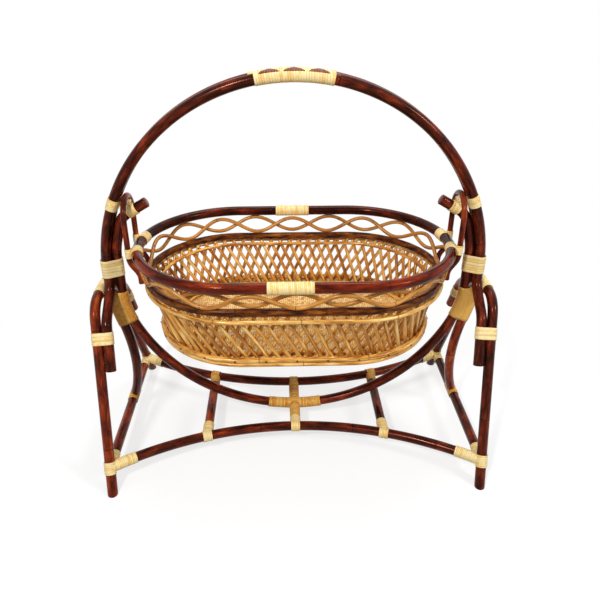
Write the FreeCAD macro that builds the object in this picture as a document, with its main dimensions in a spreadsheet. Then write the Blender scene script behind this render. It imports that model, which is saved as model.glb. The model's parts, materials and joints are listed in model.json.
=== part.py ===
# Rattan cradle: a lashed cane stand and an oblong basket that swings from two hooks.
# Frame: X to the right, Y away from the front, Z up, origin on the floor under the middle.
import FreeCAD, Part
import math
import os
import Sketcher
from FreeCAD import Placement, Rotation, Vector

SIZES = (
    # canes and bindings
    ("pole_diameter", 28.0, "stand canes, lower bow and basket rim"),
    ("hanger_diameter", 15.0, "looped canes that carry the basket"),
    ("second_ring_diameter", 20.0, "dark ring under the scallops"),
    ("upper_ring_diameter", 11.0, "natural ring outside the tops of the spokes"),
    ("lower_ring_diameter", 14.0, "natural ring outside the feet of the spokes"),
    ("inner_ring_diameter", 10.0, "rings inside the spokes, top and bottom"),
    ("base_ring_diameter", 12.0, "ring round the floor"),
    ("scallop_diameter", 11.0, "waved canes under the rim"),
    ("spoke_diameter", 10.0, "slanting wall canes"),
    ("peel_thickness", 2.0, "cane peel wound round a joint"),
    ("fit_gap", 0.4, "clearance between pieces that bear on each other"),
    # basket
    ("ring_straight", 310.0, "straight length of each side of the rim and the second ring"),
    ("rim_width", 520.0, "rim, centre to centre"),
    ("rim_drop", 119.5, "rim below the pivot"),
    ("second_ring_drop", 74.0, "second ring below the rim"),
    ("second_ring_width", 480.0, "second ring, centre to centre"),
    ("upper_ring_drop", 93.0, "upper natural rings below the rim"),
    ("lower_ring_drop", 214.0, "lower natural ring below the rim"),
    ("wall_top_width", 478.0, "between the two spoke layers, at the upper rings"),
    ("wall_bottom_width", 434.0, "between the two spoke layers, at the lower ring"),
    ("wall_top_straight", 286.0, "straight length of each side of the wall, at the upper rings"),
    ("wall_bottom_straight", 263.0, "straight length of each side of the wall, at the lower ring"),
    ("spoke_count", 72, "spokes in each layer"),
    ("spoke_lean", 65.0, "sideways run of a spoke from top to bottom"),
    ("scallop_waves", 10, "full waves of each scallop cane"),
    ("floor_thickness", 8.0, "woven floor"),
    ("base_ring_inset", 1.0, "ring round the floor inside the lower ring"),
    ("front_wrap_length", 110.0, "winding on the front of the rim"),
    ("front_wrap_offset", 16.0, "middle of that winding, left of the middle of the rim"),
    ("back_wrap_length", 100.0, "winding on the back of the rim"),
    ("nail_count", 26, "nails round the lower ring"),
    ("nail_diameter", 2.2, "shank of a nail"),
    ("nail_head_diameter", 5.0, "head of a nail"),
    # hangers and pivots
    ("hanger_spread", 104.0, "between the two legs of a hanger"),
    ("leg_bend_drop", 26.0, "first bend of a hanger leg below the rim"),
    ("leg_seat_drop", 61.0, "second bend of a hanger leg below the rim"),
    ("leg_bend_radius", 40.0, "bends of a hanger leg"),
    ("hanger_lashing_length", 34.0, "winding on the rim at a hanger leg"),
    ("collar_length", 26.0, "winding on a hanger leg at the rim"),
    ("neck_diameter", 19.0, "wound neck that a hanger loop rides on"),
    ("pivot_rise", 194.5, "pivot above the centre of the hoop"),
    # hoop and lower bow
    ("hoop_centre_height", 524.0, "centre of the round top of the hoop"),
    ("hook_standoff", 45.4, "from a hanger out to the upright run of the bow"),
    ("bow_clearance", 2.4, "slack where the bow nests behind the hoop canes"),
    ("bow_upright_share", 0.187, "share of the height of the bow below its hook that is upright"),
    ("bow_bottom_angle", 66.0, "half angle of the bottom bend of the bow"),
    ("hook_bend_drop", 130.5, "start of the hook below the pivot"),
    ("hook_bend_radius", 200.0, "first bend of the hook"),
    ("hook_lean", 15.0, "lean of the hook after its first bend, degrees"),
    ("hook_shoulder_drop", 40.0, "second bend of the hook below the pivot"),
    ("hook_shoulder_radius", 60.0, "second bend of the hook"),
    ("peg_lean", 60.0, "lean of the end of the hook from upright, degrees"),
    ("peg_run", 84.0, "from the second bend to the tip of the hook"),
    ("tail_bend_drop", 45.0, "first bend of a hoop tail below the hoop centre"),
    ("tail_bend_radius", 55.0, "first bend of a hoop tail"),
    ("tail_join_drop", 99.0, "where a hoop tail meets its leg, below the hoop centre"),
    ("tail_join_radius", 60.0, "second bend of a hoop tail"),
    ("front_tail_drop", 220.0, "cut end of a front tail below the hoop centre"),
    ("rear_tail_drop", 199.0, "cut end of a rear tail below the hoop centre"),
    # end arches
    ("foot_spread", 594.0, "front to rear between the feet of an arch"),
    ("arch_drop", 54.0, "top of an arch below the hoop centre"),
    ("arch_top_width", 170.0, "between the two corners of an arch"),
    ("arch_corner_radius", 70.0, "bend at a corner of an arch"),
    ("arch_splay", 33.5, "outward lean of an arch over its height"),
    # floor frame and braces
    ("frame_height", 66.0, "centre of the stretchers and rungs"),
    ("stretcher_half_gap", 110.0, "middle of a long stretcher from the centre line"),
    ("rung_offset", 255.0, "side rungs from the middle"),
    ("brace_bend_angle", 7.0, "where a brace parts from the bow, above its bottom bend, degrees"),
    ("brace_top_angle", 9.0, "upper end of a brace above its bend, degrees"),
    ("brace_foot_setback", 52.0, "foot of a brace behind the plane of the bow"),
    # lengths of the lashings
    ("grip_length", 190.0, "winding at the top of the hoop"),
    ("hook_lashing_length", 30.0, "winding on the hoop at the pivot"),
    ("peg_sleeve_length", 27.0, "winding on the hook at the pivot"),
    ("mid_lashing_length", 50.0, "winding that ties the bow to the hoop"),
    ("mid_lashing_rise", 16.0, "middle of that winding above the hoop centre"),
    ("leg_lashing_length", 34.0, "winding that ties a tail to a leg"),
    ("leg_lashing_drop", 139.0, "middle of that winding below the hoop centre"),
    ("arch_lashing_length", 66.0, "winding on the top of an arch"),
    ("brace_lashing_tail", 5.0, "lower end of a brace lashing below that bend, degrees"),
    ("brace_lashing_cap", 1.0, "full winding above the end of a brace, degrees"),
    ("brace_lashing_tip", 7.0, "taper of a brace lashing above the brace, degrees"),
    ("brace_foot_length", 60.0, "winding under the foot of a brace"),
    ("corner_leg_length", 34.0, "corner winding on the leg"),
    ("corner_long_length", 62.0, "corner winding on the long stretcher"),
    ("corner_side_length", 56.0, "corner winding on the side stretcher"),
    ("rung_sleeve_length", 50.0, "winding on a rung, from the stretcher"),
    ("rung_band_length", 26.0, "winding on a stretcher at a rung"),
    ("centre_bow_length", 160.0, "centre winding along the bow"),
    ("centre_rung_reach", 74.0, "centre winding along each half rung"),
)

doc = FreeCAD.newDocument("rattan_cradle")
sheet = doc.addObject("Spreadsheet::Sheet", "Sizes")
for row, (alias, value, note) in enumerate(SIZES, start=1):
    sheet.set(f"A{row}", alias)
    sheet.set(f"B{row}", str(value))
    sheet.set(f"C{row}", note)
    sheet.setAlias(f"B{row}", alias)
doc.recompute()


def size(alias):
    return float(sheet.get(alias))


X_AXIS = Vector(1, 0, 0)
Y_AXIS = Vector(0, 1, 0)
Z_AXIS = Vector(0, 0, 1)
GAP = size("fit_gap")
PEEL = size("peel_thickness")
POLE = size("pole_diameter")
POLE_RADIUS = POLE / 2
WRAP_RADIUS = POLE_RADIUS + GAP + PEEL
ROOM = "Sizes.fit_gap"
CROSS_ROOM = "1.25 * Sizes.fit_gap"
WRAP = "Sizes.fit_gap + Sizes.peel_thickness"
THIN_WRAP = "Sizes.fit_gap + 0.8 * Sizes.peel_thickness"
THICK_WRAP = "Sizes.fit_gap + 1.25 * Sizes.peel_thickness"
NO_GROWTH = "0"
SEAM_ROLL = 37
SIDES = (("left", -1), ("right", 1))
ENDS = (("front", -1), ("rear", 1))
nodes = []


# Routes: straight runs and tangent arcs

def line(start, end):
    return Part.LineSegment(start, end).toShape()


def arc(start, middle, end):
    return Part.Arc(start, middle, end).toShape()


def unit(vector):
    return vector * (1 / vector.Length)


def corner_arc(before, corner, after, reach):
    """Start, middle and end of the arc that rounds a corner, tangent at a given reach."""
    to_before = unit(before - corner)
    to_after = unit(after - corner)
    half_turn = (math.pi - to_before.getAngle(to_after)) / 2
    radius = reach / math.tan(half_turn)
    inward = unit(to_before + to_after)
    middle = corner + inward * (radius / math.cos(half_turn) - radius)
    return corner + to_before * reach, middle, corner + to_after * reach


def reach_of(before, corner, after, radius):
    """Distance from a corner to the ends of an arc of the given radius."""
    half_turn = (math.pi - (before - corner).getAngle(after - corner)) / 2
    return radius * math.tan(half_turn)


def rounded_route(points, radii):
    """Edges through the points, each inner corner rounded to its radius."""
    edges = []
    start = points[0]
    for before, corner, after, radius in zip(points, points[1:], points[2:], radii):
        reach = reach_of(before, corner, after, radius)
        first, middle, last = corner_arc(before, corner, after, reach)
        edges.append(line(start, first))
        edges.append(arc(first, middle, last))
        start = last
    edges.append(line(start, points[-1]))
    return edges


def mirrored(edges, normal):
    """The same edges on the other side of the middle, in the opposite order."""
    turned = []
    for edge in reversed(edges):
        first, last = edge.FirstParameter, edge.LastParameter
        ends = [edge.valueAt(value) for value in (last, (first + last) / 2, first)]
        ends = [point - normal * (2 * point.dot(normal)) for point in ends]
        straight = edge.Curve.TypeId == "Part::GeomLine"
        turned.append(line(ends[0], ends[2]) if straight else arc(*ends))
    return turned


def stadium_route(half_straight, radius, height):
    """A ring with two straight sides and two half-round ends."""
    front_left = Vector(-half_straight, -radius, height)
    front_right = Vector(half_straight, -radius, height)
    back_right = Vector(half_straight, radius, height)
    back_left = Vector(-half_straight, radius, height)
    right_end = Vector(half_straight + radius, 0, height)
    left_end = Vector(-half_straight - radius, 0, height)
    return [line(front_left, front_right), arc(front_right, right_end, back_right),
            line(back_right, back_left), arc(back_left, left_end, front_left)]


def stadium_point(half_straight, radius, fraction, height):
    """Point at a share of the way round a ring, counter-clockwise from its right end."""
    quarter_arc = radius * math.pi / 2
    girth = 4 * (half_straight + quarter_arc)
    run = (fraction % 1) * girth
    side = 2 * half_straight
    if run < quarter_arc:
        angle = run / radius
        return Vector(half_straight + radius * math.cos(angle), radius * math.sin(angle), height)
    run -= quarter_arc
    if run < side:
        return Vector(half_straight - run, radius, height)
    run -= side
    if run < 2 * quarter_arc:
        angle = math.pi / 2 + run / radius
        return Vector(-half_straight + radius * math.cos(angle), radius * math.sin(angle), height)
    run -= 2 * quarter_arc
    if run < side:
        return Vector(-half_straight + run, -radius, height)
    angle = -math.pi / 2 + (run - side) / radius
    return Vector(half_straight + radius * math.cos(angle), radius * math.sin(angle), height)


# Pieces

def facing(point, direction):
    """Placement along a direction, rolled so that no seam falls on a plane of symmetry."""
    return Placement(point, Rotation(Z_AXIS, direction) * Rotation(Z_AXIS, SEAM_ROLL))


def cane(label, edges, diameter, growth=NO_GROWTH):
    """A round cane bent along a route, or with a growth the room or winding round it."""
    spine = doc.addObject("Part::Feature", label + "_route")
    spine.Shape = Part.Wire(edges)
    start = edges[0].valueAt(edges[0].FirstParameter)
    heading = edges[0].tangentAt(edges[0].FirstParameter)
    section = doc.addObject("Part::Circle", label + "_section")
    section.setExpression("Radius", f"Sizes.{diameter} / 2 + {growth}")
    section.Placement = facing(start, heading)
    sweep = doc.addObject("Part::Sweep", label)
    sweep.Sections = [section]
    sweep.Spine = (spine, [])
    sweep.Solid = True
    return sweep


def rod(label, start, end, diameter, growth=NO_GROWTH):
    """A straight round cane, or with a growth the room or winding round it."""
    cylinder = doc.addObject("Part::Cylinder", label)
    cylinder.setExpression("Radius", f"Sizes.{diameter} / 2 + {growth}")
    cylinder.Height = (end - start).Length
    cylinder.Placement = facing(start, end - start)
    return cylinder


def winding(label, start, direction, length, diameter, centred=False, growth=WRAP):
    """A straight winding on a cane, its length bound to the sheet."""
    cylinder = doc.addObject("Part::Cylinder", label)
    cylinder.setExpression("Radius", f"Sizes.{diameter} / 2 + {growth}")
    cylinder.setExpression("Height", f"Sizes.{length}")
    heading = unit(direction)
    base = start - heading * (size(length) / 2) if centred else start
    cylinder.Placement = facing(base, heading)
    return cylinder


def joined(label, shapes):
    union = shapes[0]
    for number, shape in enumerate(shapes[1:], start=1):
        fuse = doc.addObject("Part::Fuse", f"{label}_{number}")
        fuse.Base = union
        fuse.Tool = shape
        fuse.Refine = False
        union = fuse
    return union


def cleared(label, outer, rooms):
    """A piece with the rooms of its neighbours taken out one by one."""
    piece = outer
    for number, room in enumerate(rooms, start=1):
        last = number == len(rooms)
        cut = doc.addObject("Part::Cut", label if last else f"{label}_cut_{number}")
        cut.Base = piece
        cut.Tool = room
        cut.Refine = False
        piece = cut
    return piece


def node(piece):
    nodes.append(piece)
    return piece


def shape_feature(label, shape):
    feature = doc.addObject("Part::Feature", label)
    feature.Shape = shape
    return feature


def plane_of(body, role):
    return next(part for part in body.Origin.OriginFeatures if part.Role == role)


def sketch_in(body, label, role="XY_Plane"):
    sketch = body.newObject("Sketcher::SketchObject", label)
    sketch.AttachmentSupport = (plane_of(body, role), [""])
    sketch.MapMode = "FlatFace"
    return sketch


def draw_circle(sketch, diameter, growth):
    circle = Part.Circle(Vector(0, 0, 0), Z_AXIS, size(diameter) / 2)
    place = sketch.addGeometry(circle)
    sketch.addConstraint(Sketcher.Constraint("Coincident", place, 3, -1, 1))
    radius = sketch.addConstraint(Sketcher.Constraint("Radius", place, size(diameter) / 2))
    sketch.setExpression(f"Constraints[{radius}]", f"Sizes.{diameter} / 2 + {growth}")


def draw_slot(sketch, spacing, radius, spacing_value, radius_value):
    """A slot outline along X, its spacing and radius bound to the sheet."""
    half = spacing_value / 2
    right_arc = Part.ArcOfCircle(Part.Circle(Vector(half, 0, 0), Z_AXIS, radius_value),
                                 -math.pi / 2, math.pi / 2)
    left_arc = Part.ArcOfCircle(Part.Circle(Vector(-half, 0, 0), Z_AXIS, radius_value),
                                math.pi / 2, 3 * math.pi / 2)
    right = sketch.addGeometry(right_arc)
    left = sketch.addGeometry(left_arc)
    top = sketch.addGeometry(Part.LineSegment(Vector(half, radius_value, 0),
                                              Vector(-half, radius_value, 0)))
    bottom = sketch.addGeometry(Part.LineSegment(Vector(-half, -radius_value, 0),
                                                 Vector(half, -radius_value, 0)))
    for first, first_end, second, second_end in ((right, 2, top, 1), (top, 2, left, 1),
                                                 (left, 2, bottom, 1), (bottom, 2, right, 1)):
        sketch.addConstraint(
            Sketcher.Constraint("Tangent", first, first_end, second, second_end))
    sketch.addConstraint(Sketcher.Constraint("Equal", right, left))
    sketch.addConstraint(Sketcher.Constraint("Symmetric", right, 3, left, 3, -1, 1))
    sketch.addConstraint(Sketcher.Constraint("PointOnObject", right, 3, -1))
    across = sketch.addConstraint(
        Sketcher.Constraint("DistanceX", left, 3, right, 3, spacing_value))
    round_end = sketch.addConstraint(Sketcher.Constraint("Radius", right, radius_value))
    sketch.setExpression(f"Constraints[{across}]", spacing)
    sketch.setExpression(f"Constraints[{round_end}]", radius)


def padded(body, sketch, length):
    pad = body.newObject("PartDesign::Pad", body.Label + "_pad")
    pad.Profile = sketch
    pad.Midplane = True
    pad.setExpression("Length", f"Sizes.{length}")
    body.Tip = pad


def slot_winding(label, middle, direction, across, spacing, spacing_value, length):
    """A straight winding round two poles that lie side by side."""
    body = doc.addObject("PartDesign::Body", label)
    sketch = sketch_in(body, label + "_outline")
    draw_slot(sketch, spacing, f"Sizes.pole_diameter / 2 + {WRAP}", spacing_value, WRAP_RADIUS)
    padded(body, sketch, length)
    body.Placement = Placement(middle, Rotation(across, Vector(0, 0, 0), unit(direction), "ZXY"))
    return body


def slot_wire(first, second, sideways, radius):
    """Outline round two points, for windings that follow two poles."""
    along = unit(second - first)
    return Part.Wire([
        line(first + sideways * radius, second + sideways * radius),
        arc(second + sideways * radius, second + along * radius, second - sideways * radius),
        line(second - sideways * radius, first - sideways * radius),
        arc(first - sideways * radius, first - along * radius, first + sideways * radius)])


# Basket levels and widths

HALF_STRAIGHT = size("ring_straight") / 2
PIVOT_HEIGHT = size("hoop_centre_height") + size("pivot_rise")
RIM_HEIGHT = PIVOT_HEIGHT - size("rim_drop")
RIM_RADIUS = size("rim_width") / 2
SECOND_HEIGHT = RIM_HEIGHT - size("second_ring_drop")
SECOND_RADIUS = size("second_ring_width") / 2
UPPER_HEIGHT = RIM_HEIGHT - size("upper_ring_drop")
LOWER_HEIGHT = RIM_HEIGHT - size("lower_ring_drop")
SPOKE_RADIUS = size("spoke_diameter") / 2
HANGER_RADIUS = size("hanger_diameter") / 2
INNER_RING_RADIUS = size("inner_ring_diameter") / 2
UPPER_RING_RADIUS = size("upper_ring_diameter") / 2
LOWER_RING_RADIUS = size("lower_ring_diameter") / 2
BASE_RING_RADIUS = size("base_ring_diameter") / 2
SECOND_RING_RADIUS = size("second_ring_diameter") / 2
SCALLOP_RADIUS = size("scallop_diameter") / 2

WALL_RISE = UPPER_HEIGHT - LOWER_HEIGHT
WALL_TAPER = (size("wall_top_width") - size("wall_bottom_width")) / 2 / WALL_RISE
STRAIGHT_TAPER = (size("wall_top_straight") - size("wall_bottom_straight")) / 2 / WALL_RISE
# the ends lean further out than the sides
TAPER_COSINE = math.cos(math.atan(WALL_TAPER + STRAIGHT_TAPER))


def wall_radius(height):
    """Half width of the wall, midway between its two layers of spokes."""
    return size("wall_bottom_width") / 2 + WALL_TAPER * (height - LOWER_HEIGHT)


def wall_straight(height):
    """Half the straight length of a side of the wall."""
    return size("wall_bottom_straight") / 2 + STRAIGHT_TAPER * (height - LOWER_HEIGHT)


# a straight spoke cuts inside a round end by this much at its middle
SPOKE_SAG = size("spoke_lean") ** 2 / (4 * size("wall_bottom_width"))
LAYER_OFFSET = (SPOKE_RADIUS + (GAP + SPOKE_SAG) / 2) / TAPER_COSINE


def beside_wall(ring_radius):
    """Distance from a spoke layer out to the centre of a ring that bears on it."""
    return (SPOKE_RADIUS + GAP + ring_radius) / TAPER_COSINE


LOWER_RING_OFFSET = LAYER_OFFSET + beside_wall(LOWER_RING_RADIUS)
LOWER_RADIUS = wall_radius(LOWER_HEIGHT) + LOWER_RING_OFFSET
LOWER_HALF_STRAIGHT = wall_straight(LOWER_HEIGHT)
BASE_HEIGHT = LOWER_HEIGHT - LOWER_RING_RADIUS - GAP - BASE_RING_RADIUS
BASE_RADIUS = LOWER_RADIUS - size("base_ring_inset")
FLOOR_RADIUS = BASE_RADIUS - BASE_RING_RADIUS - GAP
FLOOR_TOP = BASE_HEIGHT + size("floor_thickness") / 2
SPOKE_BOTTOM = FLOOR_TOP + GAP + SPOKE_RADIUS / 2
SPOKE_TOP = SECOND_HEIGHT - SECOND_RING_RADIUS - GAP - SPOKE_RADIUS / 2
SPOKE_HEIGHT = SPOKE_TOP - SPOKE_BOTTOM


def sag_at(height):
    share = (height - SPOKE_BOTTOM) / SPOKE_HEIGHT
    return 4 * share * (1 - share) * SPOKE_SAG


INNER_LOWER_HEIGHT = FLOOR_TOP + GAP + INNER_RING_RADIUS
INNER_STEP = LAYER_OFFSET + beside_wall(INNER_RING_RADIUS)
INNER_UPPER_RADIUS = wall_radius(UPPER_HEIGHT) - INNER_STEP - sag_at(UPPER_HEIGHT)
INNER_LOWER_RADIUS = wall_radius(INNER_LOWER_HEIGHT) - INNER_STEP - sag_at(INNER_LOWER_HEIGHT)
UPPER_RADIUS = wall_radius(UPPER_HEIGHT) + LAYER_OFFSET + beside_wall(UPPER_RING_RADIUS)

# Hangers: where the legs pass the rim and the second ring

HALF_SPREAD = size("hanger_spread") / 2


def leg_reach(ring_radius, cane_radius):
    """X of a hanger leg that bears on the outside of a ring."""
    outward = ring_radius + cane_radius + GAP + HANGER_RADIUS
    return HALF_STRAIGHT + math.sqrt(outward ** 2 - HALF_SPREAD ** 2)


HANGER_X = leg_reach(RIM_RADIUS, POLE_RADIUS)
SEAT_X = leg_reach(SECOND_RADIUS, SECOND_RING_RADIUS)
LEG_BEND_HEIGHT = RIM_HEIGHT - size("leg_bend_drop")
SEAT_HEIGHT = RIM_HEIGHT - size("leg_seat_drop")
LEG_END_HEIGHT = UPPER_HEIGHT + UPPER_RING_RADIUS + GAP
NECK_RADIUS = size("neck_diameter") / 2
LOOP_HEIGHT = PIVOT_HEIGHT + NECK_RADIUS + GAP - (HALF_SPREAD - HANGER_RADIUS)

# Stand positions

HOOP_HALF_GAP = (POLE + GAP) / 2
HOOP_CENTRE = size("hoop_centre_height")
BOW_X = HANGER_X + size("hook_standoff")
HOOP_RADIUS = BOW_X + math.sqrt(3) * HOOP_HALF_GAP + size("bow_clearance")
FRAME_HEIGHT = size("frame_height")
ARCH_HEIGHT = HOOP_CENTRE - size("arch_drop")
ARCH_TOP_X = HOOP_RADIUS + POLE + GAP
FOOT_X = ARCH_TOP_X - size("arch_splay")
FOOT_Y = size("foot_spread") / 2
ARCH_TOP_Y = size("arch_top_width") / 2
LEG_LEAN = (FOOT_Y - ARCH_TOP_Y) / ARCH_HEIGHT
BESIDE_POLE = POLE + GAP


def leg_point(side, end, height):
    """Centre of a leg at a height above the floor."""
    outward = FOOT_X + size("arch_splay") * height / ARCH_HEIGHT
    return Vector(side * outward, end * (FOOT_Y - LEG_LEAN * height), height)


def tail_point(side, end, height):
    """Centre of a hoop tail lying against the inner face of its leg."""
    return leg_point(side, end, height) - Vector(side * BESIDE_POLE, 0, 0)


# End arches

floor_block = doc.addObject("Part::Box", "floor_block")
floor_block.Length = 4 * ARCH_TOP_X
floor_block.Width = 4 * FOOT_Y
floor_block.Height = 4 * POLE
floor_block.Placement = Placement(Vector(-2 * ARCH_TOP_X, -2 * FOOT_Y, -4 * POLE), Rotation())

arch_edges = {}
arch_rooms = {}
for side_name, side in SIDES:
    corners = [leg_point(side, -1, -POLE), leg_point(side, -1, ARCH_HEIGHT),
               leg_point(side, 1, ARCH_HEIGHT), leg_point(side, 1, -POLE)]
    arch_edges[side] = rounded_route(corners, [size("arch_corner_radius")] * 2)
    whole = cane(f"{side_name}_arch_whole", arch_edges[side], "pole_diameter")
    arch_rooms[side] = cane(f"{side_name}_arch_room", arch_edges[side], "pole_diameter", ROOM)
    node(cleared(f"{side_name}_end_arch", whole, [floor_block]))

# Hoop of two canes with tails that run down the legs

TAIL_JOIN_HEIGHT = HOOP_CENTRE - size("tail_join_drop")
hoop_rooms = {}
for end_name, end in ENDS:
    across = end * HOOP_HALF_GAP
    tail_end = HOOP_CENTRE - size(f"{end_name}_tail_drop")
    right_foot = Vector(HOOP_RADIUS, across, HOOP_CENTRE)
    right_tail = rounded_route(
        [right_foot, right_foot - Vector(0, 0, size("tail_bend_drop")),
         tail_point(1, end, TAIL_JOIN_HEIGHT), tail_point(1, end, tail_end)],
        [size("tail_bend_radius"), size("tail_join_radius")])
    crown = arc(Vector(-HOOP_RADIUS, across, HOOP_CENTRE),
                Vector(0, across, HOOP_CENTRE + HOOP_RADIUS), right_foot)
    hoop_edges = mirrored(right_tail, X_AXIS) + [crown] + right_tail
    node(cane(f"{end_name}_hoop", hoop_edges, "pole_diameter"))
    hoop_rooms[end] = cane(f"{end_name}_hoop_room", hoop_edges, "pole_diameter", ROOM)


def hoop_place(angle):
    """Point midway between the hoop canes, at an angle from the top."""
    return Vector(HOOP_RADIUS * math.sin(angle), 0, HOOP_CENTRE + HOOP_RADIUS * math.cos(angle))


def hoop_winding(label, angle, length):
    """A winding round both hoop canes along a stretch of the hoop."""
    half_angle = size(length) / 2 / HOOP_RADIUS
    start = hoop_place(angle - half_angle)
    spine = shape_feature(label + "_route", Part.Wire([
        arc(start, hoop_place(angle), hoop_place(angle + half_angle))]))
    front = start - Y_AXIS * HOOP_HALF_GAP
    back = start + Y_AXIS * HOOP_HALF_GAP
    outward = unit(start - Vector(0, 0, HOOP_CENTRE))
    section = shape_feature(label + "_section", slot_wire(front, back, outward, WRAP_RADIUS))
    sweep = doc.addObject("Part::Sweep", label)
    sweep.Sections = [section]
    sweep.Spine = (spine, [])
    sweep.Solid = True
    return sweep


both_hoops = [hoop_rooms[-1], hoop_rooms[1]]
node(cleared("grip_wrap", hoop_winding("grip_outer", 0, "grip_length"), both_hoops))

# Lower bow with a hook at each end

BOTTOM_ANGLE = math.radians(size("bow_bottom_angle"))
HOOK_LEAN = math.radians(size("hook_lean"))
hook_bend = Vector(BOW_X, 0, PIVOT_HEIGHT - size("hook_bend_drop"))
hook_start = hook_bend.z - size("hook_bend_radius") * math.tan(HOOK_LEAN / 2)
BENDS_HEIGHT = (hook_start - FRAME_HEIGHT) * (1 - size("bow_upright_share"))
# the bottom bend alone rises by its tangent share of the width, the side bends make up the rest
BOTTOM_SLOPE = math.tan(BOTTOM_ANGLE / 2)
SIDE_RADIUS = (BENDS_HEIGHT - BOTTOM_SLOPE * BOW_X) / (
    math.cos(BOTTOM_ANGLE) - BOTTOM_SLOPE * (1 - math.sin(BOTTOM_ANGLE)))
BOTTOM_RADIUS = (BOW_X - SIDE_RADIUS * (1 - math.sin(BOTTOM_ANGLE))) / math.sin(BOTTOM_ANGLE)
BOTTOM_CENTRE = Vector(0, 0, FRAME_HEIGHT + BOTTOM_RADIUS)
SIDE_CENTRE = BOTTOM_CENTRE + Vector(math.sin(BOTTOM_ANGLE), 0, -math.cos(BOTTOM_ANGLE)) * (
    BOTTOM_RADIUS - SIDE_RADIUS)


def bow_direction(angle):
    """Unit vector from a bend centre out to the bow, at an angle from straight down."""
    return Vector(math.sin(angle), 0, -math.cos(angle))


def bow_place(angle, outward=0):
    """Point on the right half of the bow, or at a distance outside it."""
    if angle > BOTTOM_ANGLE:
        return SIDE_CENTRE + bow_direction(angle) * (SIDE_RADIUS + outward)
    return BOTTOM_CENTRE + bow_direction(angle) * (BOTTOM_RADIUS + outward)


peg_lean = math.radians(size("peg_lean"))
shoulder_rise = size("hook_bend_drop") - size("hook_shoulder_drop")
hook_shoulder = hook_bend + Vector(-shoulder_rise * math.tan(HOOK_LEAN), 0, shoulder_rise)
PEG_DIRECTION = Vector(-math.sin(peg_lean), 0, math.cos(peg_lean))
peg_tip = hook_shoulder + PEG_DIRECTION * size("peg_run")
upright_foot = bow_place(math.pi / 2)
right_hook = rounded_route([upright_foot, hook_bend, hook_shoulder, peg_tip],
                           [size("hook_bend_radius"), size("hook_shoulder_radius")])
right_side = arc(bow_place(BOTTOM_ANGLE), bow_place((BOTTOM_ANGLE + math.pi / 2) / 2),
                 upright_foot)
bottom_place = bow_place(BOTTOM_ANGLE)
bow_bottom = arc(Vector(-bottom_place.x, 0, bottom_place.z), bow_place(0), bottom_place)
right_bow = [right_side] + right_hook
bow_edges = mirrored(right_bow, X_AXIS) + [bow_bottom] + right_bow
node(cane("lower_bow", bow_edges, "pole_diameter"))
bow_room = cane("lower_bow_room", bow_edges, "pole_diameter", ROOM)

# Hook lashings: a winding on the hoop, a neck that carries the loop and a sleeve on the hook

pivot_angle = math.acos((PIVOT_HEIGHT - HOOP_CENTRE) / HOOP_RADIUS)
hoop_at_pivot = hoop_place(pivot_angle)
sleeve_reach = reach_of(hook_bend, hook_shoulder, peg_tip, size("hook_shoulder_radius"))
sleeve_foot = hook_shoulder + PEG_DIRECTION * sleeve_reach
sleeve_tip = sleeve_foot + PEG_DIRECTION * size("peg_sleeve_length")
for side_name, side in SIDES:
    label = f"{side_name}_hook_lashing"
    neck_start = Vector(side * hoop_at_pivot.x, 0, PIVOT_HEIGHT)
    neck_end = Vector(side * (sleeve_foot.x + sleeve_tip.x) / 2, 0, PIVOT_HEIGHT)
    neck = rod(label + "_neck", neck_start, neck_end, "neck_diameter")
    foot = Vector(side * sleeve_foot.x, 0, sleeve_foot.z)
    heading = Vector(side * PEG_DIRECTION.x, 0, PEG_DIRECTION.z)
    sleeve = winding(label + "_sleeve", foot, heading, "peg_sleeve_length", "pole_diameter")
    band = hoop_winding(label + "_band", side * pivot_angle, "hook_lashing_length")
    node(cleared(label, joined(label + "_outer", [band, neck, sleeve]), both_hoops + [bow_room]))

# Mid lashings: the bow tied behind the two hoop canes

mid_bottom = HOOP_CENTRE + size("mid_lashing_rise") - size("mid_lashing_length") / 2
for side_name, side in SIDES:
    label = f"{side_name}_mid_lashing"
    centres = [Vector(side * HOOP_RADIUS, -HOOP_HALF_GAP, mid_bottom),
               Vector(side * HOOP_RADIUS, HOOP_HALF_GAP, mid_bottom),
               Vector(side * BOW_X, 0, mid_bottom)]
    outline = []
    for before, centre, after in zip(centres[-1:] + centres, centres, centres[1:] + centres[:1]):
        turn = 1 if side > 0 else -1
        first = unit((centre - before).cross(Z_AXIS)) * turn
        last = unit((after - centre).cross(Z_AXIS)) * turn
        halfway = unit(first + last)
        outline.append(arc(centre + first * WRAP_RADIUS, centre + halfway * WRAP_RADIUS,
                           centre + last * WRAP_RADIUS))
        outline.append(line(centre + last * WRAP_RADIUS, after + last * WRAP_RADIUS))
    face = shape_feature(label + "_outline", Part.Face(Part.Wire(outline)))
    prism = doc.addObject("Part::Extrusion", label + "_outer")
    prism.Base = face
    prism.DirMode = "Custom"
    prism.Dir = Z_AXIS
    prism.Solid = True
    prism.setExpression("LengthFwd", "Sizes.mid_lashing_length")
    node(cleared(label, prism, both_hoops + [bow_room]))

# Leg lashings tie the hoop tails to the legs, arch lashings sit where the hoop crosses an arch

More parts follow.
